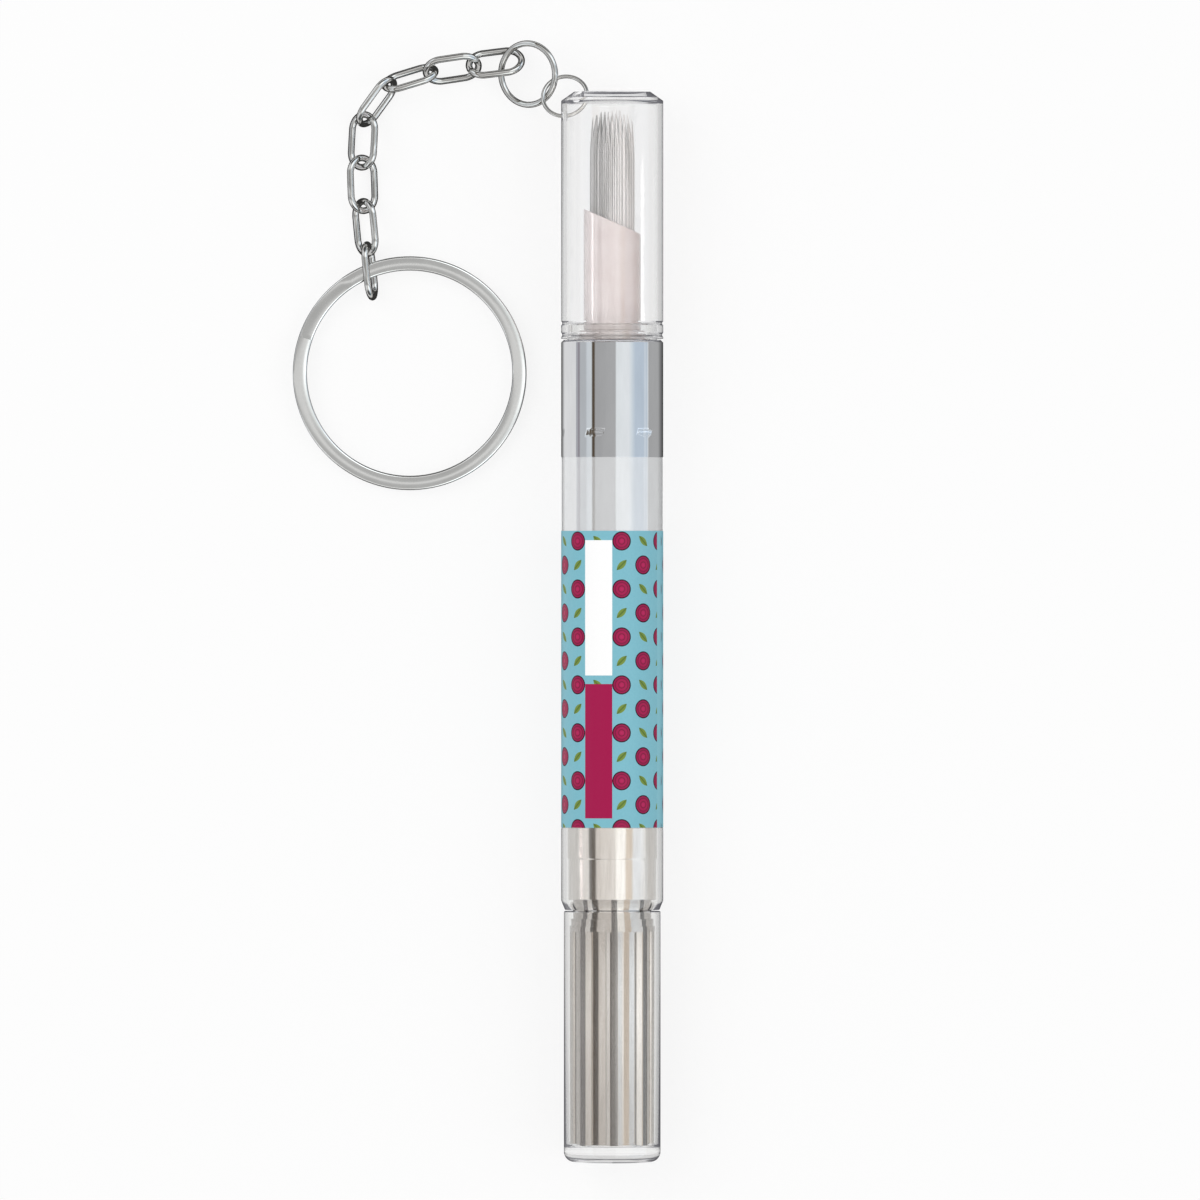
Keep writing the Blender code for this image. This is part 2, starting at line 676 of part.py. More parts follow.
def tuft_shares(height):
    # How wide and deep the bundle is at a height, as shares of its foot, so that no strands cross
    start = BACKING_START + BRISTLE_LENGTH - TUFT_TAPER_LENGTH
    part = min(1.0, max(0.0, (height - start) / TUFT_TAPER_LENGTH))
    return 1 - (1 - TUFT_WIDTH_SHARE) * part, 1 - (1 - TUFT_DEPTH_SHARE) * part


def bristle_places():
    # Rows of bristles round the feed tube, out to the backing's edge
    inner = TUBE_HOLE + BRISTLE_RADIUS + BRISTLE_EDGE
    outer = CUP_RADIUS - RUN_GAP - BRISTLE_RADIUS - BRISTLE_EDGE
    rows = int((outer - inner) / BRISTLE_ROW) + 1
    places = []
    for row in range(rows):
        radius = inner + (outer - inner) * row / (rows - 1)
        count = int(math.tau * radius / BRISTLE_SPACING)
        phase = math.radians(TUFT_TURN) + row * TUFT_PHASE_SHARE
        places += [(radius, phase + math.tau * i / count) for i in range(count)]
    return places


def make_bristles(pen):
    outer = CUP_RADIUS - RUN_GAP
    profile = [(outer, BACKING_TOP), (outer, BACKING_START), (TUBE_HOLE, BACKING_START),
               (TUBE_HOLE, BACKING_TOP)]
    finish = material("bristle_nylon", (0.8, 0.8, 0.8), 0.5)
    bristles = turned("brush_bristles", profile, finish, pen, sides=INNER_SIDES)
    foot = (BACKING_START + BACKING_TOP) / 2
    bend = BACKING_START + BRISTLE_LENGTH - TUFT_TAPER_LENGTH
    places = bristle_places()
    print("bristles:", len(places))
    shuffle = random.Random(TUFT_SEED)

    def strand(shape, radius, angle):
        out = radius / outer
        tip = BACKING_START + BRISTLE_LENGTH - TUFT_DOME * out ** 2 - TUFT_JITTER * shuffle.random()
        rings = []
        for height in (foot, bend):
            wide, deep = tuft_shares(height)
            ring = []
            for i in range(BRISTLE_SIDES):
                turn = math.tau * i / BRISTLE_SIDES + angle
                across = radius * math.cos(angle) * wide + BRISTLE_RADIUS * math.cos(turn)
                up = radius * math.sin(angle) * deep + BRISTLE_RADIUS * math.sin(turn)
                ring.append(shape.verts.new((across, up, height)))
            rings.append(ring)
        join_rings(shape, rings)
        shape.faces.new(rings[0])
        wide, deep = tuft_shares(tip)
        point = shape.verts.new((radius * math.cos(angle) * wide, radius * math.sin(angle) * deep, tip))
        for i in range(BRISTLE_SIDES):
            shape.faces.new((rings[-1][i], rings[-1][(i + 1) % BRISTLE_SIDES], point))

    def strands(shape):
        for radius, angle in places:
            strand(shape, radius, angle)

    strand_item = add_cutter("bristle_strands", mesh_from("bristle_strands", strands), PEN_AXIS, pen)
    add_boolean(bristles, strand_item, "UNION")


def groove(start):
    # One shallow ring groove in the cap's side, from its upper edge down
    floor = BODY_RADIUS - CAP_GROOVE_DEPTH
    top = start + CAP_GROOVE_WIDTH
    return [(BODY_RADIUS, top), (floor, top - CAP_GROOVE_SLOPE), (floor, start + CAP_GROOVE_SLOPE),
            (BODY_RADIUS, start)]


def make_cap(pen):
    inner = BODY_RADIUS - CAP_WALL
    ceiling = CAP_TOP - CAP_END
    profile = [(0, CAP_TOP), (BODY_RADIUS - CAP_CHAMFER_SIDE, CAP_TOP),
               (BODY_RADIUS, CAP_TOP - CAP_CHAMFER_END)]
    profile += groove(CAP_START + CAP_HIGH_GROOVE) + groove(CAP_START + CAP_LOW_GROOVE)
    profile += [(BODY_RADIUS, CAP_START), (inner, CAP_START), (inner, ceiling - CAP_INNER_CORNER),
                (inner - CAP_INNER_CORNER, ceiling), (0, ceiling)]
    return turned("cap", profile, clear_plastic("cap_clear_plastic"), pen, closed=False)


def ring_point(frame, radius, angle):
    return frame @ Vector((radius * math.cos(angle), radius * math.sin(angle), 0))


def ring_tangent(frame, angle):
    return (frame.to_3x3() @ Vector((-math.sin(angle), math.cos(angle), 0))).normalized()


def crossing(test, low, high):
    # The angle between low and high at which a rising or falling test passes zero
    rising = test(high) > test(low)
    for _ in range(CROSSING_STEPS):
        middle = (low + high) / 2
        if (test(middle) > 0) == rising:
            high = middle
        else:
            low = middle
    return (low + high) / 2


def wire_loop(name, points, thickness, finish, world, parent, cyclic=True):
    curve = bpy.data.curves.new(name, "CURVE")
    curve.dimensions = "3D"
    curve.bevel_depth = thickness / 2
    curve.bevel_resolution = WIRE_RESOLUTION
    curve.use_fill_caps = True
    spline = curve.splines.new("POLY")
    spline.points.add(len(points) - 1)
    for target, point in zip(spline.points, points):
        target.co = (*point, 1.0)
    spline.use_cyclic_u = cyclic
    return add_part(name, curve, finish, world, parent)


def jump_ring_points(radius, cut_turn):
    # An open ring whose two ends all but meet at the cut
    cut = RING_CUT / radius
    start = math.radians(cut_turn) + cut / 2
    angles = [start + (math.tau - cut) * i / RING_STEPS for i in range(RING_STEPS + 1)]
    return [(radius * math.cos(angle), radius * math.sin(angle), 0) for angle in angles]


def add_pivot(name, point, axis, parent):
    # An empty on a hinge, its Z along the hinge's axis
    world = axis.to_track_quat("Z", "Y").to_matrix().to_4x4()
    world.translation = point
    return add_empty(name, world, parent)


def make_small_ring(cap, steel):
    middle = Vector((-(BODY_RADIUS - SMALL_RING_IN_SIDE), CAP_TOP - SMALL_RING_IN_END,
                     PEN_HEIGHT - SMALL_RING_DROP))
    frame = frame_at(middle, SMALL_RING_HEADING, SMALL_RING_PITCH, SMALL_RING_ROLL)

    def past_end(angle):
        return ring_point(frame, SMALL_RING_RADIUS, angle).y - (CAP_TOP - CAP_END / 2)

    def past_side(angle):
        point = ring_point(frame, SMALL_RING_RADIUS, angle)
        return math.hypot(point.x, point.z - PEN_HEIGHT) - (BODY_RADIUS - CAP_WALL / 2)

    def drill(shape):
        radius = SMALL_RING_WIRE / 2 + CAP_HOLE_PLAY
        bmesh.ops.create_cone(shape, cap_ends=True, segments=CAP_HOLE_SIDES, radius1=radius,
                              radius2=radius, depth=CAP_END + 2 * OVERRUN)

    # The ring passes the end wall on one side of its innermost point and the side wall on the other
    reach = math.radians(CAP_HOLE_SEARCH)
    end_angle = crossing(past_end, math.pi, math.pi + reach)
    side_angle = crossing(past_side, math.pi, math.pi - reach)
    holes = []
    for name, angle in (("end_hole", end_angle), ("side_hole", side_angle)):
        point = ring_point(frame, SMALL_RING_RADIUS, angle)
        along = ring_tangent(frame, angle).to_track_quat("Z", "Y").to_matrix().to_4x4()
        world = Matrix.Translation(point) @ along
        add_boolean(cap, add_cutter(name, mesh_from(name, drill), world, cap))
        holes.append(point)
    pivot = add_pivot("small_ring_pivot", holes[0], holes[1] - holes[0], cap)
    points = jump_ring_points(SMALL_RING_RADIUS, SMALL_RING_CUT_TURN)
    wire_loop("small_jump_ring", points, SMALL_RING_WIRE, steel, frame, pivot, cyclic=False)
    return pivot, frame


def make_large_ring(small_pivot, small_frame, steel):
    far = ring_point(small_frame, SMALL_RING_RADIUS, 0)
    turn = frame_at((0, 0, 0), LARGE_RING_HEADING, LARGE_RING_PITCH, LARGE_RING_ROLL)
    onward = turn.to_3x3().col[0]
    between = (small_frame.to_3x3().col[0] + onward).normalized()
    spacing = (SMALL_RING_WIRE + LARGE_RING_WIRE) / 2 + RUN_GAP
    frame = Matrix.Translation(far - between * spacing + onward * LARGE_RING_RADIUS) @ turn
    pivot = add_pivot("large_ring_pivot", far, ring_tangent(small_frame, 0), small_pivot)
    points = jump_ring_points(LARGE_RING_RADIUS, LARGE_RING_CUT_TURN)
    wire_loop("large_jump_ring", points, LARGE_RING_WIRE, steel, frame, pivot, cyclic=False)
    return pivot, frame


def link_points():
    # Half circles at both ends, joined by straight sides
    across = (LINK_WIDTH - LINK_WIRE) / 2
    straight = (LINK_LENGTH - LINK_WIRE) / 2 - across
    points = []
    for side in (1, -1):
        for i in range(LINK_ARC_STEPS + 1):
            angle = math.pi * (i / LINK_ARC_STEPS - 1 / 2)
            points.append((side * (straight + across * math.cos(angle)), side * across * math.sin(angle), 0))
    return points


def link_rest_height(roll):
    # A rolled link lies on one of its long sides
    return (LINK_WIDTH - LINK_WIRE) / 2 * abs(math.sin(math.radians(roll))) + LINK_WIRE / 2


def level(angle):
    return Vector((math.cos(math.radians(angle)), math.sin(math.radians(angle)), 0))


def make_links(ring_pivot, ring_frame, steel):
    half = (LINK_LENGTH - LINK_WIRE) / 2
    turn = math.radians(FIRST_LINK_TURN)
    hold = ring_point(ring_frame, LARGE_RING_RADIUS, turn)
    axis = ring_tangent(ring_frame, turn)
    spacing = (LARGE_RING_WIRE + LINK_WIRE) / 2 + FIRST_LINK_SLACK
    middle = hold + level(LINK_HEADINGS[0]) * (half - spacing)
    pivot = ring_pivot
    for number, (heading, roll) in enumerate(zip(LINK_HEADINGS, LINK_ROLLS), start=1):
        middle.z = link_rest_height(roll)
        frame = frame_at(middle, heading, 0, roll)
        pivot = add_pivot(f"link_{number}_pivot", hold, axis, pivot)
        wire_loop(f"chain_link_{number}", link_points(), LINK_WIRE, steel, frame, pivot)
        hold = frame @ Vector((half, 0, 0))
        axis = frame.to_3x3().col[1].copy()
        if number < len(LINK_HEADINGS):
            onward = level(LINK_HEADINGS[number])
            between = (level(heading) + onward).normalized()
            middle = hold - between * (LINK_WIRE + LINK_SLACK) + onward * half
    return pivot, frame


def key_ring_height(angle):
    # Height of the flat wire's middle: first turn on top, then the step, then the lower turn
    rise = (KEY_RING_TURN + KEY_RING_GAP) / 2
    step = math.radians(KEY_RING_STEP_TURN)
    part = min(1.0, max(0.0, (angle - math.tau + step) / step))
    return rise * (1 - 2 * part)


def key_ring_angles():
    span = 2 * math.tau - math.radians(KEY_RING_STEP_TURN)
    count = round(span / math.tau * KEY_RING_STEPS)
    return [span * i / count for i in range(count + 1)]


def flat_wire(shape):
    # The ring's rectangular section carried round its two turns, closed at both ends
    wide = KEY_RING_WIDTH / 2
    thick = KEY_RING_TURN / 2
    rings = []
    for angle in key_ring_angles():
        height = key_ring_height(angle)
        turn = around(KEY_RING_STEP_PLACE) @ Matrix.Rotation(angle, 4, "Z")
        corners = ((-wide, -thick), (wide, -thick), (wide, thick), (-wide, thick))
        rings.append([shape.verts.new(turn @ Vector((KEY_RING_RADIUS + r, 0, height + z)))
                      for r, z in corners])
    join_rings(shape, rings)
    shape.faces.new(rings[0])
    shape.faces.new(rings[-1])


def make_key_ring(link_pivot, link_frame, steel):
    stack = 2 * KEY_RING_TURN + KEY_RING_GAP
    near = LINK_WIRE + KEY_RING_SEAT + stack / 2
    outer = KEY_RING_RADIUS + KEY_RING_WIDTH / 2
    pitch = -math.degrees(math.asin((near - stack / 2) / (outer + KEY_RING_RADIUS)))
    turn = frame_at((0, 0, 0), KEY_RING_HEADING, pitch, 0)
    hold = link_frame.translation.copy()
    middle = hold + turn.to_3x3().col[0] * KEY_RING_RADIUS
    middle.z += near - hold.z
    pivot = add_pivot("key_ring_pivot", hold, turn.to_3x3().col[1], link_pivot)
    mesh = mesh_from("split_key_ring", flat_wire)
    add_part("split_key_ring", mesh, steel, Matrix.Translation(middle) @ turn, pivot)
    angles = [angle for angle in key_ring_angles() if angle + math.tau <= key_ring_angles()[-1]]
    least = min(key_ring_height(angle) - key_ring_height(angle + math.tau) for angle in angles)
    print("least gap between the key ring's turns, mm:", round((least - KEY_RING_TURN) * 1000, 3))


def finished_mesh(item, graph):
    # The part's evaluated mesh, smooth but for its sharp edges
    mesh = bpy.data.meshes.new_from_object(item.evaluated_get(graph), depsgraph=graph)
    shape = bmesh.new()
    shape.from_mesh(mesh)
    bmesh.ops.remove_doubles(shape, verts=shape.verts, dist=MERGE_DISTANCE)
    shape.to_mesh(mesh)
    shape.free()
    mesh.shade_smooth()
    mesh.set_sharp_from_angle(angle=math.radians(SHARP_ANGLE))
    return mesh


def finish_parts():
    bpy.context.view_layer.update()
    graph = bpy.context.evaluated_depsgraph_get()
    solids = [item for item in parts.objects if item.type != "EMPTY"]
    meshes = [finished_mesh(item, graph) for item in solids]
    for item, mesh in zip(solids, meshes):
        name = item.name
        if item.type == "CURVE":
            wire = item
            item = bpy.data.objects.new(name, mesh)
            parts.objects.link(item)
            place(item, world_of[name], wire.parent)
            bpy.data.objects.remove(wire, do_unlink=True)
            item.name = name
        else:
            item.modifiers.clear()
            item.data = mesh
        mesh.name = name


def stand_on_table(root):
    # The origin goes under the middle of the whole object's box, on the table
    bpy.context.view_layer.update()
    corners = [item.matrix_world @ vertex.co for item in parts.objects if item.type == "MESH"
               for vertex in item.data.vertices]
    low = Vector([min(corner[i] for corner in corners) for i in range(3)])
    high = Vector([max(corner[i] for corner in corners) for i in range(3)])
    root.location = (-(low.x + high.x) / 2, -(low.y + high.y) / 2, -low.z)
    bpy.context.view_layer.update()


def print_pivots():
    for item in parts.objects:
        if item.type == "EMPTY":
            point = item.matrix_world.translation
            axis = item.matrix_world.to_3x3().col[2]
            print(item.name, "at", [round(value, PRINT_DIGITS) for value in point], "axis",
                  [round(value, PRINT_DIGITS) for value in axis])


def build():
    root = add_empty("keyring_root", Matrix())
    pen = add_empty("pen", PEN_AXIS, root)
    knob = make_knob(pen)
    make_insert(knob, pen)
    make_bush(knob, pen)
    make_click_ring(pen)
    make_ratchet_sleeve(pen)
    make_nut(pen)
    make_rod(make_piston(pen), pen)
    make_barrel(pen)
    make_label(pen)
    make_collar(pen)
    make_seat(pen)
    make_holder(pen)
    make_feed_tube(pen)
    make_bristles(pen)
    cap = make_cap(pen)
    steel = material("polished_steel", (0.55, 0.55, 0.54), 0.15, metallic=1.0)
    small_pivot, small_frame = make_small_ring(cap, steel)
    large_pivot, large_frame = make_large_ring(small_pivot, small_frame, steel)
    link_pivot, link_frame = make_links(large_pivot, large_frame, steel)
    make_key_ring(link_pivot, link_frame, steel)
    finish_parts()
    stand_on_table(root)
    print_pivots()


build()
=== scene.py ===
# Clear twist pen with a brush under its cap, on a chain with a split key ring.
# Metres throughout. The pen lies along +Y, +Z is up, and stations run from the knob's end.
import math
import random
from functools import partial
import bpy
from mathutils import Matrix, Vector


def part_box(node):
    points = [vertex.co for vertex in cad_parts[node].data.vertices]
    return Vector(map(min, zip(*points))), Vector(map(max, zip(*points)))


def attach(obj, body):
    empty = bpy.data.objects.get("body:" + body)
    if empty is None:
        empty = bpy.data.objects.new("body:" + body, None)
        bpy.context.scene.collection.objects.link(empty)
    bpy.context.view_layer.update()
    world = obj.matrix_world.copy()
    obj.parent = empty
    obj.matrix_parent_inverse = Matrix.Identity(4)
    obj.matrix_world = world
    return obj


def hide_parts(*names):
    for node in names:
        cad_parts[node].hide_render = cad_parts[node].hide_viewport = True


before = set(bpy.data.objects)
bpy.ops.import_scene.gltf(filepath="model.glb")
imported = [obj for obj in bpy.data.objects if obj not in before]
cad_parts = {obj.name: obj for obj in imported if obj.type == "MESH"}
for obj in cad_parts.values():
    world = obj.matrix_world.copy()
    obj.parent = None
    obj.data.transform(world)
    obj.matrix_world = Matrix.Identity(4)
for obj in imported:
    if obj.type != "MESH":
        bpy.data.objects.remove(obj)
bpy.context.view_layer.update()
print("frame loaded")

# The pen's axis and its lower end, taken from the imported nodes
barrelLow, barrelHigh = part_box("barrel_tube")
axisX = (barrelLow.x + barrelHigh.x) / 2
axisZ = (barrelLow.z + barrelHigh.z) / 2
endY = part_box("knob_sleeve")[0].y
shift = Vector((axisX, endY, 0))
pen = {
    "radius": 0.0060, "top": 0.1254, "sides": 96,
    "pole": 0.00001,            # a turned profile starts or ends here instead of on the axis
    "poleMerge": 0.000021,      # and is closed there by merging over this distance
    "merge": 0.000001,
    "same": 0.000000001,        # a share this near to 1 resizes nothing
}
outer = pen["radius"]
roundShare = axisZ / outer              # keeps the round pieces inside the frame's flats
alongPen = (-math.pi / 2, 0, 0)         # turns a primitive's own Z onto the pen


def linear(code):
    # sRGB hex to linear colour
    parts = [int(code[i:i + 2], 16) / 255 for i in (0, 2, 4)]
    return (*[c / 12.92 if c <= 0.04045 else ((c + 0.055) / 1.055) ** 2.4 for c in parts], 1.0)


def feed(node, inputs):
    # An input is a number or colour, or another node's output, or a node for its first output
    for socket, value in inputs.items():
        if isinstance(value, bpy.types.Node):
            value = value.outputs[0]
        if isinstance(value, bpy.types.NodeSocket):
            node.id_data.links.new(value, node.inputs[socket])
        else:
            node.inputs[socket].default_value = value


def addNode(tree, kind, inputs=None, out=None, **settings):
    # Hands back the node, or the output that out picks
    node = tree.nodes.new("ShaderNode" + kind)
    for name, value in settings.items():
        setattr(node, name, value)
    feed(node, inputs or {})
    return node if out is None else node.outputs[out]


def setRamp(node, stops):
    ramp = node.color_ramp
    ramp.elements[0].position, ramp.elements[0].color = stops[0][0], linear(stops[0][1])
    ramp.elements[1].position, ramp.elements[1].color = stops[-1][0], linear(stops[-1][1])
    for position, code in stops[1:-1]:
        ramp.elements.new(position).color = linear(code)


def newMaterial(name, sockets):
    # Hands back the material, its shader, addNode for its tree, and Object coordinates
    made = bpy.data.materials.new(name)
    made.use_nodes = True
    shader = made.node_tree.nodes["Principled BSDF"]
    feed(shader, sockets)
    add = partial(addNode, made.node_tree)
    return made, shader, add, add("TexCoord", out="Object")


def penY(station):
    return endY + station


def editMode():
    bpy.ops.object.mode_set(mode="EDIT")
    bpy.ops.mesh.select_mode(type="VERT")


def objectMode():
    bpy.ops.object.mode_set(mode="OBJECT")


def only(piece):
    bpy.ops.object.select_all(action="DESELECT")
    piece.select_set(True)
    bpy.context.view_layer.objects.active = piece


def settle(piece):
    # Its place goes into its mesh
    only(piece)
    bpy.ops.object.transform_apply(location=True, rotation=True, scale=True)


def added(operator, **settings):
    # A new object on its own, with nothing else selected
    bpy.ops.object.select_all(action="DESELECT")
    operator(**settings)
    return bpy.context.active_object


def selectAll():
    bpy.ops.mesh.select_all(action="SELECT")


def selectWhere(piece, test):
    # Selects the vertices that pass a test of their place in the piece's own mesh
    bpy.ops.mesh.select_all(action="DESELECT")
    objectMode()
    for vertex in piece.data.vertices:
        vertex.select = test(vertex.co)
    editMode()


def extrudeAlong(distance):
    bpy.ops.mesh.extrude_region_move(TRANSFORM_OT_translate={"value": (0, distance, 0)})


def resizeAcross(share, center=(axisX, 0, axisZ)):
    if abs(share - 1) > pen["same"]:
        bpy.ops.transform.resize(value=(share, 1, share), center_override=center)


def extrudeProfile(profile):
    # Extrudes and resizes the selected ring along a profile of (radius, station)
    for (fromRadius, fromStation), (toRadius, toStation) in zip(profile, profile[1:]):
        extrudeAlong(toStation - fromStation)
        resizeAcross(toRadius / fromRadius, center=(axisX, penY(toStation), axisZ))


def closeMesh(merge=pen["merge"], fill=False):
    selectAll()
    bpy.ops.mesh.remove_doubles(threshold=merge)
    if fill:
        bpy.ops.mesh.fill_holes(sides=0)
    bpy.ops.mesh.normals_make_consistent(inside=False)
    objectMode()


def turnedPiece(profile, sides=pen["sides"], closed=True):
    # A circle taken along a profile, which ends where it started or at two poles
    if closed:
        profile = profile + [profile[0]]
    profile = [(max(radius, pen["pole"]), station) for radius, station in profile]
    radius, station = profile[0]
    piece = added(bpy.ops.mesh.primitive_circle_add, vertices=sides, radius=radius * roundShare,
                  location=(axisX, penY(station), axisZ), rotation=alongPen)
    editMode()
    selectAll()
    extrudeProfile(profile)
    closeMesh(pen["poleMerge"])
    return piece


def applyModifier(piece, kind, **settings):
    only(piece)
    made = piece.modifiers.new(kind.title(), kind)
    for name, value in settings.items():
        setattr(made, name, value)
    bpy.ops.object.modifier_apply(modifier=made.name)


def cutAway(piece, cutter):
    # Takes the cutter's shape out of the piece, and removes the cutter
    settle(cutter)
    applyModifier(piece, "BOOLEAN", operation="DIFFERENCE", solver="EXACT", object=cutter)
    bpy.data.objects.remove(cutter)


def finishPiece(piece, name, body, material, replaces, bevel=0, segments=2, angle=35):
    # Edges are eased and faces smoothed, and the piece stands for its CAD node
    settle(piece)
    if bevel:
        applyModifier(piece, "BEVEL", width=bevel, segments=segments, limit_method="ANGLE",
                      angle_limit=math.radians(angle), use_clamp_overlap=True)
    bpy.ops.object.shade_smooth_by_angle(angle=math.radians(angle))
    if bevel:
        # Long faces keep their own direction, and only the eased edges turn the light
        applyModifier(piece, "WEIGHTED_NORMAL", mode="FACE_AREA", keep_sharp=True)
    piece.name = name
    piece.data.name = name
    piece.data.materials.clear()
    piece.data.materials.append(material)
    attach(piece, body)
    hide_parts(*replaces)
    return piece


def unevenFinish(add, shader, pattern, roughness, spread, bump, depth):
    # Roughness varies by a share each way with the pattern, which also raises the surface a little
    blur = add("MapRange", {0: pattern, 3: roughness * (1 - spread), 4: roughness * (1 + spread)})
    raised = add("Bump", {"Strength": bump, "Distance": depth, "Height": pattern})
    feed(shader, {"Roughness": blur, "Normal": raised})


def clearPlastic(name, tint, roughness, trappedGlowTone="3c3c40", trappedTurns=2.5):
    # Styrene-acrylonitrile, injection moulded and polished: water-clear, with bright hard edges,
    # and faint flow marks about 3 mm apart that bend what lies behind it
    made, shader, add, place = newMaterial(name, {
        "IOR": 1.57, "Transmission Weight": 1.0, "Base Color": linear(tint),
        "Emission Color": linear(trappedGlowTone)})
    # Light trapped in the thick ends would be cut off black after a few turns, so there the plastic glows a
    # flat grey instead: a painted glow
    turns = add("LightPath", out="Glossy Depth")
    trapped = add("Math", {0: turns, 1: trappedTurns}, operation="GREATER_THAN")
    feed(shader, {"Emission Strength": trapped})
    stretch = add("Mapping", {0: place, 3: (1.0, 0.35, 1.0)})
    flow = add("TexNoise", {"Vector": stretch, "Scale": 330.0, "Detail": 2.0})
    unevenFinish(add, shader, flow, roughness, spread=0.5, bump=0.05, depth=0.00004)
    return made


def metalFinish(name, light, dark, roughness, grain, drawn, bump, ribs=None):
    # Metal with a fine grain, drawn out along the pen where drawn is under 1: it darkens a little
    # along the grain and blurs unevenly
    made, shader, add, place = newMaterial(name, {"Metallic": 1.0})
    stretch = add("Mapping", {0: place, 3: (1.0, drawn, 1.0)})
    lines = add("TexNoise", {"Vector": stretch, "Scale": grain, "Detail": 3.0, "Roughness": 0.6})
    color = add("ValToRGB", {0: lines})
    setRamp(color, [(0.3, dark), (0.7, light)])
    if ribs:
        # Along each rib's flat crest a dark stripe is painted: a painted dark reflection
        local = add("Mapping", {0: place, 1: (-axisX, 0, -axisZ)})
        split = add("SeparateXYZ", {0: local})
        turn = add("Math", {0: split.outputs[0], 1: split.outputs[2]}, operation="ARCTAN2")
        turn = add("Math", {0: turn, 1: math.radians(-ribs["turn"])}, operation="ADD")
        half = math.pi / ribs["ribs"]
        turn = add("Math", {0: turn, 1: half, 2: -half}, operation="WRAP")
        stripe = add("Math", {0: turn, 1: 0.0, 2: ribs["crest"] / ribs["rib"]}, operation="COMPARE")
        color = add("Mix", {0: stripe, 6: color, 7: linear(ribs["crestReflectionTone"])}, 2, data_type="RGBA")
    feed(shader, {"Base Color": color})
    unevenFinish(add, shader, lines, roughness, spread=0.25, bump=bump, depth=0.00002)
    return made


def mouldedPlastic(name, light, dark, roughness, ior=1.50, coat=None):
    # Opaque moulded plastic: an even colour with a soft mottle some millimetres wide and a fine
    # spark-eroded grain of about 0.15 mm, which softens its highlights
    made, shader, add, place = newMaterial(name, {"IOR": ior, **(coat or {})})
    mottle = add("TexNoise", {"Vector": place, "Scale": 400.0, "Detail": 2.0})
    tone = add("ValToRGB", {0: mottle})
    setRamp(tone, [(0.35, dark), (0.65, light)])
    feed(shader, {"Base Color": tone})
    grain = add("TexNoise", {"Vector": place, "Scale": 6500.0, "Detail": 1.0})
    unevenFinish(add, shader, grain, roughness, spread=0.2, bump=0.08, depth=0.00002)
    return made


clearCap = clearPlastic("clearStyreneCap", "fdfdfd", roughness=0.012)
clearBarrel = clearPlastic("clearStyreneBarrel", "fcfcfb", roughness=0.015)
clearKnob = clearPlastic("clearStyreneKnob", "fbfbfa", roughness=0.015)
# Vacuum metallised ABS: a mirror with hardly any grain, so it shows the studio in hard bands
metallisedCollar = metalFinish(
    "vacuumMetallisedCollar", "f0f1f3", "e9eaec", roughness=0.045, grain=900.0, drawn=0.2, bump=0.02)
# Satin metallised sleeve: drawn along the pen, so bands blur and fine lines run lengthwise
satinSleeve = metalFinish(
    "satinMetallisedSleeve", "f2efec", "e4dfda", roughness=0.15, grain=2600.0, drawn=0.06, bump=0.10)
# Nickel-plated steel wire: hard narrow highlights, with drawing lines too fine to show as lines
nickelWire = metalFinish(
    "nickelPlatedSteelWire", "d8d7d4", "cccbc8", roughness=0.10, grain=1500.0, drawn=1.0, bump=0.01)
# Tumbled flat steel under nickel: an even pale grey face, with light and dark lines on its eased edges
nickelFlat = metalFinish(
    "nickelPlatedFlatSteel", "f4f4f2", "eeeeec", roughness=0.12, grain=300.0, drawn=1.0, bump=0.01)
# Natural polypropylene with a drop of pink, polished: slightly milky under a clear wet shine
pinkPolypropylene = mouldedPlastic(
    "naturalPinkPolypropylene", "f3ebea", "ece2e1", roughness=0.12,
    coat={"Coat Weight": 1.0, "Coat IOR": 2.0})
whiteAcetal = mouldedPlastic("whiteAcetal", "ecece8", "e2e2dd", roughness=0.35, ior=1.48)
whitePolythene = mouldedPlastic("whitePolythene", "ececea", "e4e4e0", roughness=0.45, ior=1.51)
print("materials made")


# The film's print: polka dots and small leaves on sky blue, with two bare panels
labelPrint = {
    "end": 0.0740,                          # the print stops here, and a milky margin goes on
    "lattice": 0.0056, "across": 0.00112,   # pitch of the dots, and how far they are moved round the pen
    "dot": 0.00112, "leafLong": 0.00085, "leafWide": 0.00036, "leafLean": 45.0,
    "sky": ("79b8c8", "86c2d0"), "grain": 4200.0, "margin": "f4f5f5",
    "leafTones": [(0.0, "4a6326"), (0.12, "557030"), (0.16, "6f8838"), (1.0, "7d9643")],
    "dotTones": [
        (0.0, "b8235c"), (0.26, "ab1650"), (0.30, "7a0d3a"), (0.36, "7a0d3a"), (0.40, "a5134d"),
        (0.60, "a5134d"), (0.64, "760c38"), (0.70, "760c38"), (0.74, "9c104a"), (0.86, "9c104a"),
        (0.89, "2c0819"), (1.0, "2c0819")],
    "panelTurn": (-0.27925, 0.27925),       # the panels' middle and half width, round the pen in radians
    "panels": ((0.04825, 0.00785, "a50d4b"), (0.0650, 0.0079, "ffffff")),      # middle, half length, ink
    "seam": (1.17, 0.10, "86c3d1"),         # the film's overlap: middle, half width, ink
    "marginAlpha": 0.14, "marginGlow": 0.28,
}


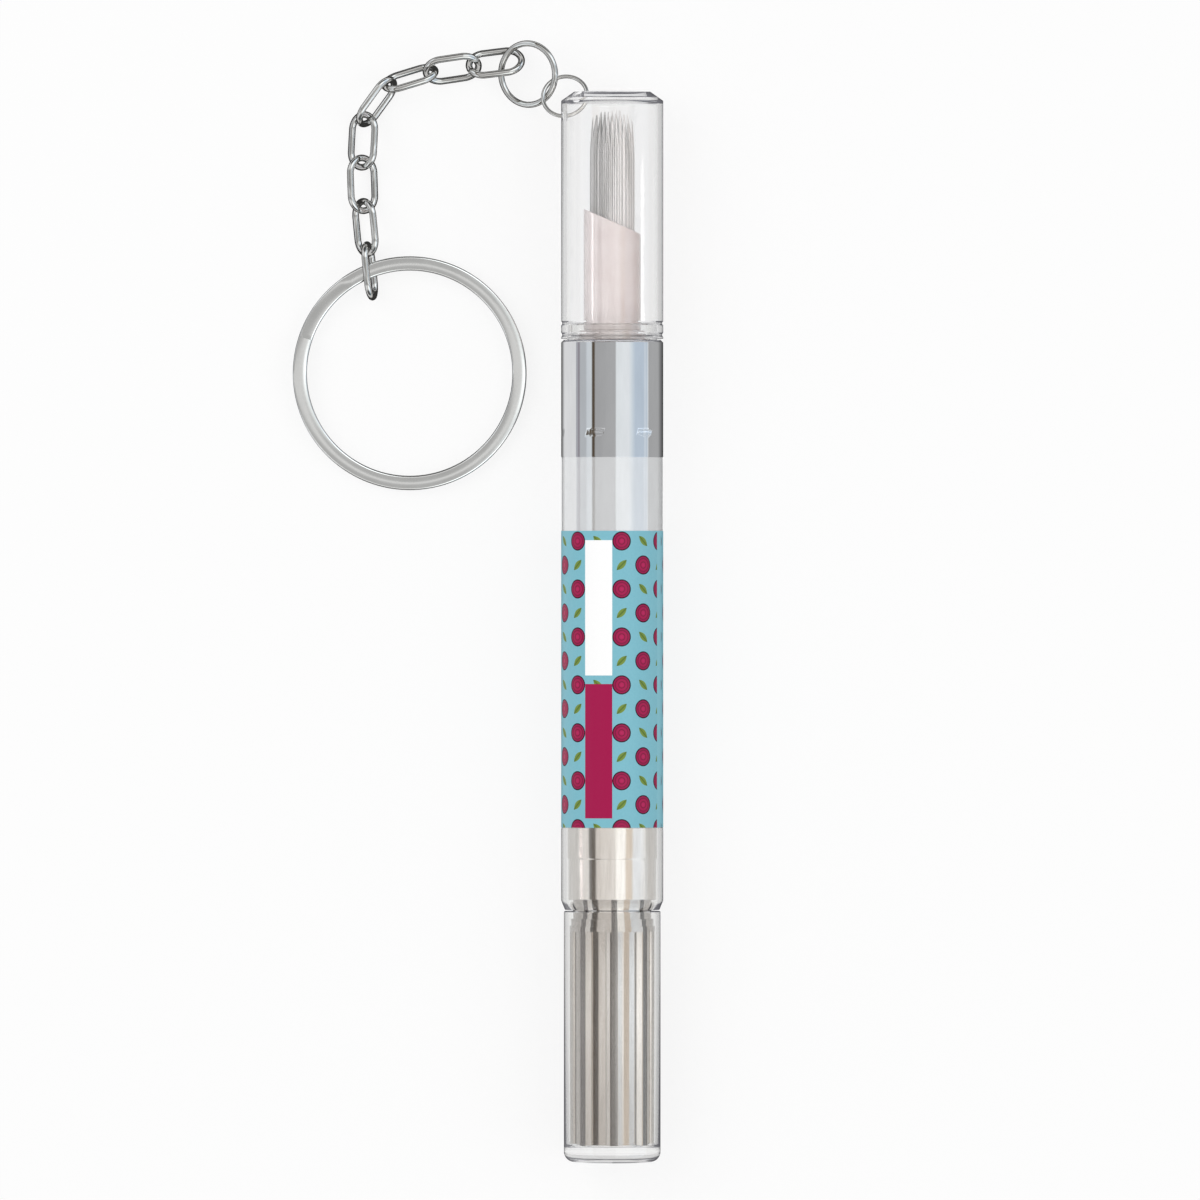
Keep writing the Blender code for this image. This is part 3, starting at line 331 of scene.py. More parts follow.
def printedFilm(name):
    # Polyester shrink film, gravure printed on its back: flat saturated inks under a clear gloss,
    # bare and milky past the print
    made, shader, add, place = newMaterial(name, {
        "IOR": 1.57, "Roughness": 0.35, "Specular IOR Level": 0.22, "Emission Color": linear("ffffff")})
    local = add("Mapping", {0: place, 1: (-axisX, -endY, -axisZ)})
    split = add("SeparateXYZ", {0: local})
    turn = add("Math", {0: split.outputs[0], 1: split.outputs[2]}, operation="ARCTAN2")
    across = add("Math", {0: turn, 1: outer}, operation="MULTIPLY")
    along = split.outputs[1]
    flat = add("CombineXYZ", {0: across, 1: along})
    pitch = labelPrint["lattice"]
    cell = {1: (pitch / 2, pitch / 2, 1.0), 2: (-pitch / 2, -pitch / 2, -1.0)}

    def fromNearest(column, row):
        # The way from the nearest point of a lattice that is moved by these shares of its pitch
        start = (-labelPrint["across"] + pitch * column, pitch * row, 0.0)
        moved = add("VectorMath", {0: flat, 1: start}, operation="ADD")
        return add("VectorMath", {0: moved, **cell}, operation="WRAP")

    # Sky blue with a fine printer's grain
    grain = add("TexNoise", {"Vector": place, "Scale": labelPrint["grain"], "Detail": 2.0})
    deep, pale = [linear(code) for code in labelPrint["sky"]]
    color = add("Mix", {0: grain, 6: deep, 7: pale}, 2, data_type="RGBA")
    leafSize = (1 / labelPrint["leafLong"], 1 / labelPrint["leafWide"], 1.0)
    for column, row, lean in ((0.5, 0.0, labelPrint["leafLean"]), (0.0, 0.5, -labelPrint["leafLean"])):
        # Leaves lie aslant between the dots: pointed ovals with a darker vein
        turned = add("Mapping", {0: fromNearest(column, row), 2: (0.0, 0.0, math.radians(lean))})
        part = add("SeparateXYZ", {0: add("Mapping", {0: turned, 3: leafSize})})
        tip = add("Math", {0: part.outputs[0], 1: 2.0}, operation="POWER")
        side = add("Math", {0: part.outputs[1]}, operation="ABSOLUTE")
        reach = add("Math", {0: tip, 1: side}, operation="ADD")
        inside = add("Math", {0: reach, 1: 1.0}, operation="LESS_THAN")
        green = add("ValToRGB", {0: side})
        setRamp(green, labelPrint["leafTones"])
        color = add("Mix", {0: inside, 6: color, 7: green}, 2, data_type="RGBA")
    for share in (0.0, 0.5):
        # Dots: crimson with a ring inside and a near-black outline
        distance = add("VectorMath", {0: fromNearest(share, share)}, "Value", operation="LENGTH")
        reach = add("Math", {0: distance, 1: labelPrint["dot"]}, operation="DIVIDE")
        inside = add("Math", {0: reach, 1: 1.0}, operation="LESS_THAN")
        ink = add("ValToRGB", {0: reach})
        setRamp(ink, labelPrint["dotTones"])
        color = add("Mix", {0: inside, 6: color, 7: ink}, 2, data_type="RGBA")
    # The film's two ends overlap in a plain strip, where the pattern is cut
    middle, half, code = labelPrint["seam"]
    strip = add("Math", {0: turn, 1: middle, 2: half}, operation="COMPARE")
    color = add("Mix", {0: strip, 6: color, 7: linear(code)}, 2, data_type="RGBA")
    middle, half = labelPrint["panelTurn"]
    wide = add("Math", {0: turn, 1: middle, 2: half}, operation="COMPARE")
    for middle, half, code in labelPrint["panels"]:
        long = add("Math", {0: along, 1: middle, 2: half}, operation="COMPARE")
        panel = add("Math", {0: wide, 1: long}, operation="MULTIPLY")
        color = add("Mix", {0: panel, 6: color, 7: linear(code)}, 2, data_type="RGBA")
    printed = add("Math", {0: along, 1: labelPrint["end"]}, operation="LESS_THAN")
    color = add("Mix", {0: printed, 6: linear(labelPrint["margin"]), 7: color}, 2, data_type="RGBA")
    # The milky margin scatters the light that runs inside the film; a faint white glow painted on it stands
    # in for that light
    alpha = add("MapRange", {0: printed, 3: labelPrint["marginAlpha"], 4: 1.0})
    glow = add("MapRange", {0: printed, 3: labelPrint["marginGlow"], 4: 0.0})
    feed(shader, {"Base Color": color, "Alpha": alpha, "Emission Strength": glow})
    return made


filmPrint = printedFilm("printedPolyesterFilm")
print("label print made")

# Twist knob: clear sleeve with a thick base, fluted silver insert inside
knob = {
    "radius": 0.00568, "wall": 0.00048, "base": 0.0019, "length": 0.0295, "corner": 0.0012, "lip": 0.0001,
    "floorCorner": 0.0004, "floorRound": 0.0001,        # the floor inside meets the wall in two slopes
    "dome": 0.00015, "domeSteps": ((0.55, 0.4), (0.3, 0.1)),       # shares of the radius and of the dome
}
knobOuter = knob["radius"]
knobInner = knobOuter - knob["wall"]
profile = [
    (0, knob["base"]), (knobInner - knob["floorCorner"], knob["base"]),
    (knobInner - knob["floorRound"], knob["base"] + knob["floorRound"]),
    (knobInner, knob["base"] + knob["floorCorner"]), (knobInner, knob["length"]),
    (knobOuter - knob["lip"], knob["length"]), (knobOuter, knob["length"] - knob["lip"])]
for degrees in range(0, 91, 10):
    angle = math.radians(degrees)
    profile.append((knobOuter - knob["corner"] * (1 - math.cos(angle)),
                    knob["dome"] + knob["corner"] * (1 - math.sin(angle))))
profile += [(knobOuter * wide, knob["dome"] * high) for wide, high in knob["domeSteps"]] + [(0, 0)]
finishPiece(turnedPiece(profile, closed=False), "knobSleeve", "knob", clearKnob,
            ["knob_sleeve"])

insert = {
    "rib": 0.0050, "depth": 0.00055, "ribs": 8, "turn": 3.0, "flute": 0.0019, "start": 0.0021,
    "crest": 0.00036, "flankDrop": 0.00036,      # half the flat crest's width, and how far a flank falls
    # The crest's tone below is a painted dark reflection along each rib's crest
    "crestReflectionTone": "7e7a77", "fluteTop": 0.0271, "ribTop": 0.02775,
    "bandIn": 0.00015, "bandTop": 0.0286, "top": 0.0330, "neck": 0.0046, "bore": 0.0032, "sides": 384,
    "seam": 0.00002,            # flutes run out to full round over this length
    "match": 0.0000002,         # vertices this near to a distance from the crest are at it
}
# Metallised ribbed insert: brighter than satin, moulded, so bands stay readable on each rib
ribbedSilver = metalFinish("metallisedRibbedInsert", "d2ceca", "c8c3be", roughness=0.09, grain=2200.0,
                           drawn=0.08, bump=0.05, ribs=insert)


def offCrest(place):
    # Distance round the insert from the nearest rib's middle
    angle = math.degrees(math.atan2(place.x - axisX, place.z - axisZ))
    step = 360 / insert["ribs"]
    return abs(math.radians((angle - insert["turn"] + step / 2) % step - step / 2)) * insert["rib"]


def ribShare(off):
    # A rib has a narrow crest and two slanted flanks, and the flute between two ribs is round
    edge = math.pi * insert["rib"] / insert["ribs"] - insert["flute"] / 2
    if off > edge:
        return 1 - insert["depth"] / insert["rib"]
    slope = max(0.0, off - insert["crest"]) / (edge - insert["crest"])
    return 1 - insert["flankDrop"] * slope / insert["rib"]


ribbed = added(bpy.ops.mesh.primitive_circle_add, vertices=insert["sides"], radius=insert["rib"] * roundShare,
               location=(axisX, penY(insert["start"]), axisZ), rotation=alongPen)
settle(ribbed)
editMode()
places = sorted({round(offCrest(vertex.co), 7) for vertex in ribbed.data.vertices})
for off in places:
    if ribShare(off) < 1:
        selectWhere(ribbed, lambda place: abs(offCrest(place) - off) < insert["match"])
        resizeAcross(ribShare(off))
selectAll()
extrudeAlong(insert["fluteTop"] - insert["start"])
extrudeAlong(insert["seam"])
pastFlutes = penY(insert["fluteTop"] + insert["seam"] / 2)
for off in places:
    if ribShare(off) < 1:
        selectWhere(ribbed, lambda place: abs(offCrest(place) - off) < insert["match"]
                    and place.y > pastFlutes)
        resizeAcross(1 / ribShare(off))
selectWhere(ribbed, lambda place: place.y > pastFlutes)
band = insert["rib"] - insert["bandIn"]
extrudeProfile([
    (insert["rib"], insert["fluteTop"] + insert["seam"]), (insert["rib"], insert["ribTop"]),
    (band, insert["ribTop"]), (band, insert["bandTop"]), (insert["neck"], insert["bandTop"]),
    (insert["neck"], insert["top"]), (insert["bore"], insert["top"]), (insert["bore"], insert["start"])])
selectWhere(ribbed, lambda place: place.y < penY(insert["start"] + insert["seam"] / 2))
bpy.ops.mesh.bridge_edge_loops()
closeMesh()
finishPiece(ribbed, "knobInsert", "knob", ribbedSilver, ["knob_insert"],
            bevel=0.00005, angle=14)
print("knob made")

# Barrel: clear tube with a tapered lower end, metallised sleeve inside
barrel = {
    "start": 0.02965, "taper": 0.0011, "taperStep": 0.00045, "wall": 0.0006, "chamber": 0.0047,
    "shoulder": 0.0467, "neck": 0.00525, "top": 0.0982,
    "recess": 0.00007, "recessStart": 0.03925, "recessEnd": 0.06985,        # the film lies in it
}
profile = [
    (barrel["neck"], barrel["top"]), (barrel["neck"], barrel["recessEnd"]),
    (outer - barrel["recess"], barrel["recessEnd"]), (outer - barrel["recess"], barrel["recessStart"]),
    (outer, barrel["recessStart"]), (outer, barrel["start"] + barrel["taper"]),
    (outer - barrel["taperStep"], barrel["start"]), (outer - barrel["wall"], barrel["start"]),
    (outer - barrel["wall"], barrel["shoulder"]), (barrel["chamber"], barrel["shoulder"]),
    (barrel["chamber"], barrel["top"])]
finishPiece(turnedPiece(profile), "barrelTube", "pen", clearBarrel, ["barrel_tube"],
            bevel=0.00005)

satin = {"outer": 0.00525, "wall": 0.0005, "start": 0.0309, "step": 0.0356, "stepIn": 0.0001, "end": 0.04495}
profile = [
    (satin["outer"], satin["end"]), (satin["outer"], satin["step"] + satin["stepIn"]),
    (satin["outer"] - satin["stepIn"], satin["step"]), (satin["outer"] - satin["stepIn"], satin["start"]),
    (satin["outer"] - satin["wall"], satin["start"]), (satin["outer"] - satin["wall"], satin["end"])]
finishPiece(turnedPiece(profile), "ratchetSleeve", "pen", satinSleeve,
            ["ratchet_sleeve"], bevel=0.00005)
print("barrel made")

# Film, and the collar with its six shallow oval marks
film = {"thickness": 0.00005, "start": 0.0393, "end": 0.0826}
profile = [(outer, film["end"]), (outer, film["start"]), (outer - film["thickness"], film["start"]),
           (outer - film["thickness"], film["end"])]
finishPiece(turnedPiece(profile), "labelFilm", "pen", filmPrint, ["label_sleeve"])

collar = {
    "start": 0.0700, "step": 0.08265, "stepIn": 0.00007, "top": 0.09635, "corner": 0.0003, "inner": 0.0054,
    "marks": 6, "markTurn": -20.0, "markPlace": 0.08545, "markWidth": 0.0021, "markHeight": 0.0008,
    "markDepth": 0.00002, "markSides": 48, "cutterDepth": 0.0006, "cutterReach": 0.0003, "coreLength": 0.004,
    "markRing": 0.0006,         # rings of vertices this far to both sides of the marks
}
profile = [
    (outer - collar["corner"], collar["top"]), (outer, collar["top"] - collar["corner"]),
    (outer, collar["markPlace"] + collar["markRing"]), (outer, collar["markPlace"] - collar["markRing"]),
    (outer, collar["step"]), (outer - collar["stepIn"], collar["step"]),
    (outer - collar["stepIn"], collar["start"]), (collar["inner"], collar["start"]),
    (collar["inner"], collar["top"])]
ferrule = turnedPiece(profile)
markY = penY(collar["markPlace"])
away = (outer - collar["cutterReach"] + collar["cutterDepth"] / 2) * roundShare
for number in range(collar["marks"]):
    turn = math.radians(collar["markTurn"] + 360 * number / collar["marks"])
    oval = added(bpy.ops.mesh.primitive_cylinder_add, vertices=collar["markSides"], radius=0.5,
                 depth=collar["cutterDepth"], rotation=(0, turn, 0),
                 location=(axisX + away * math.sin(turn), markY, axisZ + away * math.cos(turn)))
    oval.scale = (collar["markWidth"], collar["markHeight"], 1)
    # The mark's floor is round like the collar
    core = added(bpy.ops.mesh.primitive_cylinder_add, vertices=pen["sides"], depth=collar["coreLength"],
                 radius=(outer - collar["markDepth"]) * roundShare, rotation=alongPen,
                 location=(axisX, markY, axisZ))
    cutAway(oval, core)
    cutAway(ferrule, oval)
finishPiece(ferrule, "silverCollar", "pen", metallisedCollar, ["silver_collar"],
            bevel=0.00006)
print("film and collar made")

# Nozzle seat and slanted brush holder
seat = {
    "boss": 0.00394, "plug": 0.00455, "top": 0.0965, "show": 0.0010, "start": 0.0880,
    "waist": 0.00425, "land": 0.0011, "waistEnd": 0.0014,       # a land and then the waist, from each end
    "socket": 0.0024, "socketFloor": 0.0930, "hole": 0.00075,
}
profile = [
    (seat["boss"], seat["top"] + seat["show"]), (seat["boss"], seat["top"]), (seat["plug"], seat["top"]),
    (seat["plug"], seat["top"] - seat["land"]), (seat["waist"], seat["top"] - seat["waistEnd"]),
    (seat["waist"], seat["start"] + seat["waistEnd"]), (seat["plug"], seat["start"] + seat["land"]),
    (seat["plug"], seat["start"]), (seat["hole"], seat["start"]), (seat["hole"], seat["socketFloor"]),
    (seat["socket"], seat["socketFloor"]), (seat["socket"], seat["top"] + seat["show"])]
finishPiece(turnedPiece(profile), "nozzleSeat", "pen", pinkPolypropylene,
            ["nozzle_seat"], bevel=0.00012)

holder = {
    "outer": 0.00336, "wall": 0.00061, "start": 0.09751, "length": 0.01419, "slant": 24.2,
    "spigot": 0.00225, "spigotStart": 0.0933, "cupFloor": 0.10365, "hole": 0.00075,
    "spare": 0.001,             # taken off again by the slanted cut
}
holderTop = holder["start"] + holder["length"]
profile = [
    (holder["outer"], holderTop + holder["spare"]), (holder["outer"], holder["start"]),
    (holder["spigot"], holder["start"]), (holder["spigot"], holder["spigotStart"]),
    (holder["hole"], holder["spigotStart"]), (holder["hole"], holder["cupFloor"]),
    (holder["outer"] - holder["wall"], holder["cupFloor"]),
    (holder["outer"] - holder["wall"], holderTop + holder["spare"])]
nozzle = turnedPiece(profile)
settle(nozzle)
editMode()
selectAll()
slant = math.radians(holder["slant"])
bpy.ops.mesh.bisect(plane_co=(axisX - holder["outer"] * roundShare, penY(holderTop), axisZ),
                    plane_no=(math.sin(slant), math.cos(slant), 0), use_fill=False, clear_outer=True)
bpy.ops.mesh.bridge_edge_loops()
closeMesh()
finishPiece(nozzle, "brushHolder", "pen", pinkPolypropylene, ["brush_holder"],
            bevel=0.0001, segments=3)
print("nozzle made")

# Bristles: one tapered strand copied into a bundle, on a slice of backing
tuft = {
    "foot": 0.1042, "backing": (0.10395, 0.10545), "backingBore": 0.00076, "backingSides": 48,
    "length": 0.0197, "strand": 0.000088, "sides": 5,
    "heights": (0.0, 0.35, 0.65, 0.78, 0.86, 0.91, 0.96, 1.0),      # a strand's rings of vertices
    "thick": (1.0, 1.0, 1.0, 1.0, 0.95, 0.85, 0.7, 0.35),           # and its thickness at each
    "inner": 0.00083, "outer": 0.00262, "spacing": 0.00021, "row": 0.00023,
    "firstTurn": 0.3, "rowTurn": 0.618, "swing": 0.15,              # swing is a share of the spacing
    "taper": 0.0056, "wide": 0.82, "deep": 0.5, "narrowing": 1.3,   # the bundle narrows over its last part
    "dome": 0.0012, "jitter": 0.0002, "wave": 0.00004, "seed": 11,
    "clump": 0.00052, "clumpJitter": 0.0016, "clumpSeeds": (31, 7),
    "gather": 0.86, "gatherCurve": 1.2, "gatherShare": 0.85,        # strands gather into clumps past here
}


def nylon(name):
    # Nylon monofilament, drawn and heat set: each strand takes the light a little differently, so the
    # bundle reads as white and grey streaks about 0.2 mm wide. Light runs along the strands and leaves
    # them all over, which a faint glow stands in for
    made, shader, add, place = newMaterial(name, {
        "IOR": 1.53, "Roughness": 0.35, "Emission Color": linear("ffffff"), "Emission Strength": 0.10})
    tone = add("ValToRGB", {0: add("NewGeometry", out="Random Per Island")})
    setRamp(tone, [(0.0, "adadac"), (0.35, "dededd"), (0.7, "fafafa"), (1.0, "ffffff")])
    # Wider locks, about 1 mm across, are painted a little greyer than the rest: painted shade where they lie
    # deeper
    stretch = add("Mapping", {0: place, 3: (1.0, 0.05, 1.0)})
    lock = add("TexNoise", {"Vector": stretch, "Scale": 900.0, "Detail": 1.0})
    grey = add("ValToRGB", {0: lock})
    setRamp(grey, [(0.36, "dcdcdb"), (0.50, "ffffff")])
    # Painted shade: the bundle is darker towards its left side, and a little at its right
    side = add("SeparateXYZ", {0: place})
    side = add("MapRange", {0: side, 1: axisX - tuft["outer"], 2: axisX + tuft["outer"]})
    sideShade = add("ValToRGB", {0: side})
    setRamp(sideShade, [(0.0, "b9b9b9"), (0.3, "d2d2d2"), (0.55, "ffffff"), (0.75, "ffffff"), (1.0, "e2e2e2")])
    for shade in (grey, sideShade):
        tone = add("Mix", {0: 1.0, 6: tone, 7: shade}, 2, data_type="RGBA", blend_type="MULTIPLY")
    feed(shader, {"Base Color": tone})
    return made


bristleNylon = nylon("nylonMonofilament")
foot, top = tuft["backing"]
backing = turnedPiece([(tuft["outer"], top), (tuft["outer"], foot), (tuft["backingBore"], foot),
                       (tuft["backingBore"], top)], sides=tuft["backingSides"])
settle(backing)

# The strand stands on the origin, one unit long along Y, and its tip tapers
strand = added(bpy.ops.mesh.primitive_circle_add, vertices=tuft["sides"], radius=tuft["strand"],
               rotation=alongPen)
editMode()
selectAll()
bpy.ops.mesh.edge_face_add()
rings = list(zip(tuft["heights"], tuft["thick"]))
for (low, fromThick), (high, toThick) in zip(rings, rings[1:]):
    extrudeAlong(high - low)
    resizeAcross(toThick / fromThick, center=(0, high, 0))
objectMode()
settle(strand)

shuffle = random.Random(tuft["seed"])
spread = tuft["outer"] - tuft["strand"] - tuft["inner"]
rows = int(spread / tuft["row"]) + 1
bend = foot + tuft["length"] - tuft["taper"]
copies = [backing]
for row in range(rows):
    radius = tuft["inner"] + spread * row / (rows - 1)
    count = int(math.tau * radius / tuft["spacing"])
    for i in range(count):
        swing = shuffle.uniform(-tuft["swing"], tuft["swing"]) * tuft["spacing"] / radius
        angle = tuft["firstTurn"] + row * tuft["rowTurn"] + math.tau * i / count + swing
        tip = foot + tuft["length"] - tuft["dome"] * (radius / tuft["outer"]) ** 2
        tip -= tuft["jitter"] * shuffle.random()
        waves = [shuffle.uniform(-1, 1) * tuft["wave"] for _ in range(2)]
        # Near the tips the strands draw together into small points, and each point has its own height
        spot = (radius * math.cos(angle), radius * math.sin(angle))
        clump = [round(part / tuft["clump"]) for part in spot]
        drawn = [part * tuft["clump"] for part in clump]
        clumpSeed = sum(part * share for part, share in zip(clump, tuft["clumpSeeds"])) + tuft["seed"]
        tip -= tuft["clumpJitter"] * random.Random(clumpSeed).random()
        one = strand.copy()
        one.data = strand.data.copy()
        bpy.context.scene.collection.objects.link(one)
        for vertex in one.data.vertices:
            share = vertex.co.y
            height = tuft["foot"] + share * (tip - tuft["foot"])
            narrow = min(1.0, max(0.0, (height - bend) / tuft["taper"])) ** tuft["narrowing"]
            pull = max(0.0, (share - tuft["gather"]) / (1 - tuft["gather"]))
            pull = pull ** tuft["gatherCurve"] * tuft["gatherShare"]
            across, up = [(start * (1 - pull) + end * pull) * (1 - (1 - size) * narrow)
                          for start, end, size in zip(spot, drawn, (tuft["wide"], tuft["deep"]))]
            sway = math.sin(share * math.pi) + share ** 2
            vertex.co = Vector((axisX + across + vertex.co.x + waves[0] * sway, penY(height),
                                axisZ + up + vertex.co.z + waves[1] * sway))
        copies.append(one)
bpy.data.objects.remove(strand)
only(backing)
for one in copies:
    one.select_set(True)
bpy.ops.object.join()
finishPiece(backing, "brushBristles", "pen", bristleNylon, ["brush_bristles"])
print("bristles made:", len(copies) - 1)

# Chain: the rings' and links' places follow the same layout as the frame
smallRing = {
    "radius": 0.00262, "wire": 0.0005, "inSide": 0.00047, "inEnd": 0.0005, "drop": 0.0007,
    "heading": 148.5, "pitch": -20.0, "roll": 18.0, "cut": 90.0, "steps": 160, "sides": 20,
    "inset": 0.000017,          # the round wire stays within the frame's wire, which has flats
}
largeRing = {
    "radius": 0.00362, "wire": 0.00075, "gap": 0.00015,
    "heading": 148.5, "pitch": -23.0, "roll": -18.0, "cut": 126.0, "steps": 220, "sides": 20,
}
link = {
    "length": 0.0070, "width": 0.0045, "wire": 0.0008, "slack": 0.0003, "firstSlack": 0.00142,
    "firstTurn": 5.0, "headings": (187.0, 188.4, 197.0, 234.0, 267.0, 272.0, 275.5, 276.0),
    "rolls": (45.0, -48.0, 64.0, -64.0, 44.0, -42.0, 56.0, -78.0), "steps": 64, "sides": 20,
    "still": 0.00001,           # vertices this near to the middle stay where they are
}


def frameAt(point, heading, pitch, roll):
    turn = Matrix.Rotation(math.radians(heading), 4, "Z") @ Matrix.Rotation(math.radians(-pitch), 4, "Y")
    return Matrix.Translation(point) @ turn @ Matrix.Rotation(math.radians(roll), 4, "X")


def ringPoint(place, radius, angle):
    return place @ Vector((radius * math.cos(angle), radius * math.sin(angle), 0))


def level(angle):
    return Vector((math.cos(math.radians(angle)), math.sin(math.radians(angle)), 0))


def openRing(place, sizes, name, body, replaces):
    # A torus with one of its steps taken out and its two ends closed
    cut = place @ Matrix.Rotation(math.radians(sizes["cut"]), 4, "Z")
    moved = Matrix.Translation(shift) @ cut
    piece = added(bpy.ops.mesh.primitive_torus_add, location=moved.translation, rotation=moved.to_euler(),
                  major_segments=sizes["steps"], major_radius=sizes["radius"] - smallRing["inset"],
                  minor_segments=sizes["sides"], minor_radius=sizes["wire"] / 2 - smallRing["inset"])
    editMode()
    step = math.tau / sizes["steps"]
    selectWhere(piece, lambda co: -step / 2 < math.atan2(co.y, co.x) < step * 3 / 2)
    bpy.ops.mesh.select_mode(type="FACE")
    bpy.ops.mesh.delete(type="ONLY_FACE")
    bpy.ops.mesh.select_mode(type="VERT")
    closeMesh(fill=True)
    return finishPiece(piece, name, body, nickelWire, replaces, angle=50)


middle = Vector((-(outer - smallRing["inSide"]), pen["top"] - smallRing["inEnd"], axisZ - smallRing["drop"]))
smallFrame = frameAt(middle, smallRing["heading"], smallRing["pitch"], smallRing["roll"])
openRing(smallFrame, smallRing, "smallJumpRing", "small_ring", ["small_jump_ring"])

far = ringPoint(smallFrame, smallRing["radius"], 0)
largeTurn = frameAt((0, 0, 0), largeRing["heading"], largeRing["pitch"], largeRing["roll"])
onward = largeTurn.to_3x3().col[0]
between = (smallFrame.to_3x3().col[0] + onward).normalized()
spacing = (smallRing["wire"] + largeRing["wire"]) / 2 + largeRing["gap"]
largeFrame = Matrix.Translation(far - between * spacing + onward * largeRing["radius"]) @ largeTurn
openRing(largeFrame, largeRing, "largeJumpRing", "large_ring", ["large_jump_ring"])

halfLink = (link["length"] - link["wire"]) / 2
sideLink = (link["width"] - link["wire"]) / 2
hold = ringPoint(largeFrame, largeRing["radius"], math.radians(link["firstTurn"]))
toFirst = halfLink - (largeRing["wire"] + link["wire"]) / 2 - link["firstSlack"]
middle = hold + level(link["headings"][0]) * toFirst
for number, (heading, roll) in enumerate(zip(link["headings"], link["rolls"]), start=1):
    middle.z = sideLink * abs(math.sin(math.radians(roll))) + link["wire"] / 2
    place = frameAt(middle, heading, 0, roll)
    moved = Matrix.Translation(shift) @ place
    oval = added(bpy.ops.mesh.primitive_torus_add, location=moved.translation, rotation=moved.to_euler(),
                 major_segments=link["steps"], major_radius=sideLink,
                 minor_segments=link["sides"], minor_radius=link["wire"] / 2)
    editMode()
    for side in (1, -1):
        # Each half of the ring moves out along the link, and the sides between become straight
        selectWhere(oval, lambda co: co.x * side > link["still"])
        bpy.ops.transform.translate(value=tuple(moved.to_3x3().col[0] * side * (halfLink - sideLink)))
    objectMode()
    finishPiece(oval, f"chainLink{number}", f"link_{number}", nickelWire,
                [f"chain_link_{number}"], angle=60)
    hold = place @ Vector((halfLink, 0, 0))
    if number < len(link["headings"]):
        onward = level(link["headings"][number])
        between = (level(heading) + onward).normalized()
        middle = hold - between * (link["wire"] + link["slack"]) + onward * halfLink
print("chain made")

# Split key ring: a rounded flat section spun through two turns with a step between
keyRing = {
    "radius": 0.01288, "width": 0.00165, "thick": 0.0006, "gap": 0.00042, "seat": 0.0003, "heading": 291.3,
    "edge": 0.00022, "edgeSteps": 4, "steps": 108, "stepTurn": 36.0, "stepPlace": 230.0, "stepParts": 16,
}
stack = 2 * keyRing["thick"] + keyRing["gap"]
near = link["wire"] + keyRing["seat"] + stack / 2
pitch = -math.degrees(math.asin((near - stack / 2) / (keyRing["radius"] * 2 + keyRing["width"] / 2)))
turn = frameAt((0, 0, 0), keyRing["heading"], pitch, 0)
hold = place.translation.copy()
middle = hold + turn.to_3x3().col[0] * keyRing["radius"]
middle.z += near - hold.z
stepPlace = Matrix.Rotation(math.radians(keyRing["stepPlace"]), 4, "Z")
ringFrame = Matrix.Translation(shift + middle) @ turn @ stepPlace
rise = (keyRing["thick"] + keyRing["gap"]) / 2
normal = ringFrame.to_3x3().col[2]
start = ringFrame @ Matrix.Translation((keyRing["radius"], 0, rise)) @ Matrix.Rotation(math.pi / 2, 4, "X")
flat = added(bpy.ops.mesh.primitive_plane_add, size=1, location=start.translation, rotation=start.to_euler())
flat.scale = (keyRing["width"], keyRing["thick"], 1)
settle(flat)
editMode()
selectAll()
bpy.ops.mesh.bevel(offset=keyRing["edge"], segments=keyRing["edgeSteps"], affect="VERTICES")
selectAll()
bpy.ops.mesh.delete(type="ONLY_FACE")
selectAll()
parts = keyRing["stepParts"]
flatTurn = (360 - keyRing["stepTurn"], keyRing["steps"], 0.0)
for angle, steps, drop in [flatTurn, *[(keyRing["stepTurn"] / parts, 1, 2 * rise / parts)] * parts, flatTurn]:
    bpy.ops.mesh.spin(steps=steps, angle=-math.radians(angle), center=tuple(ringFrame.translation),
                      axis=tuple(normal))
    if drop:
        bpy.ops.transform.translate(value=tuple(-normal * drop))
closeMesh(fill=True)
finishPiece(flat, "splitKeyRing", "key_ring", nickelFlat, ["split_key_ring"], angle=40)
flat.visible_glossy = False      # the collar shows no streaks of it
print("key ring made")

# Cap: clear shell with a chamfered end, two grooves at its mouth and two holes for the ring
cap = {
    "start": 0.0965, "wall": 0.0006, "end": 0.0010, "chamferSide": 0.0015, "chamferEnd": 0.00105,
    "innerCorner": 0.0004, "grooveDepth": 0.00012, "grooveWidth": 0.0005, "grooveSlope": 0.00015,
    "grooves": (0.0967, 0.09805), "holePlay": 0.00035, "holeSides": 32, "cutterLength": 0.0030,
    "holeReach": 100.0, "halvings": 60,     # each hole is looked for within this turn, by halving it
}
inner = outer - cap["wall"]
ceiling = pen["top"] - cap["end"]
profile = [(0, pen["top"]), (outer - cap["chamferSide"], pen["top"]), (outer, pen["top"] - cap["chamferEnd"])]
for low in reversed(cap["grooves"]):
    high = low + cap["grooveWidth"]
    profile += [(outer, high), (outer - cap["grooveDepth"], high - cap["grooveSlope"]),
                (outer - cap["grooveDepth"], low + cap["grooveSlope"]), (outer, low)]
profile += [(outer, cap["start"]), (inner, cap["start"]), (inner, ceiling - cap["innerCorner"]),
            (inner - cap["innerCorner"], ceiling), (0, ceiling)]
shell = turnedPiece(profile, closed=False)


def pastEnd(point):
    return point.y > pen["top"] - cap["end"] / 2


def pastSide(point):
    return math.hypot(point.x, point.z - axisZ) > outer - cap["wall"] / 2


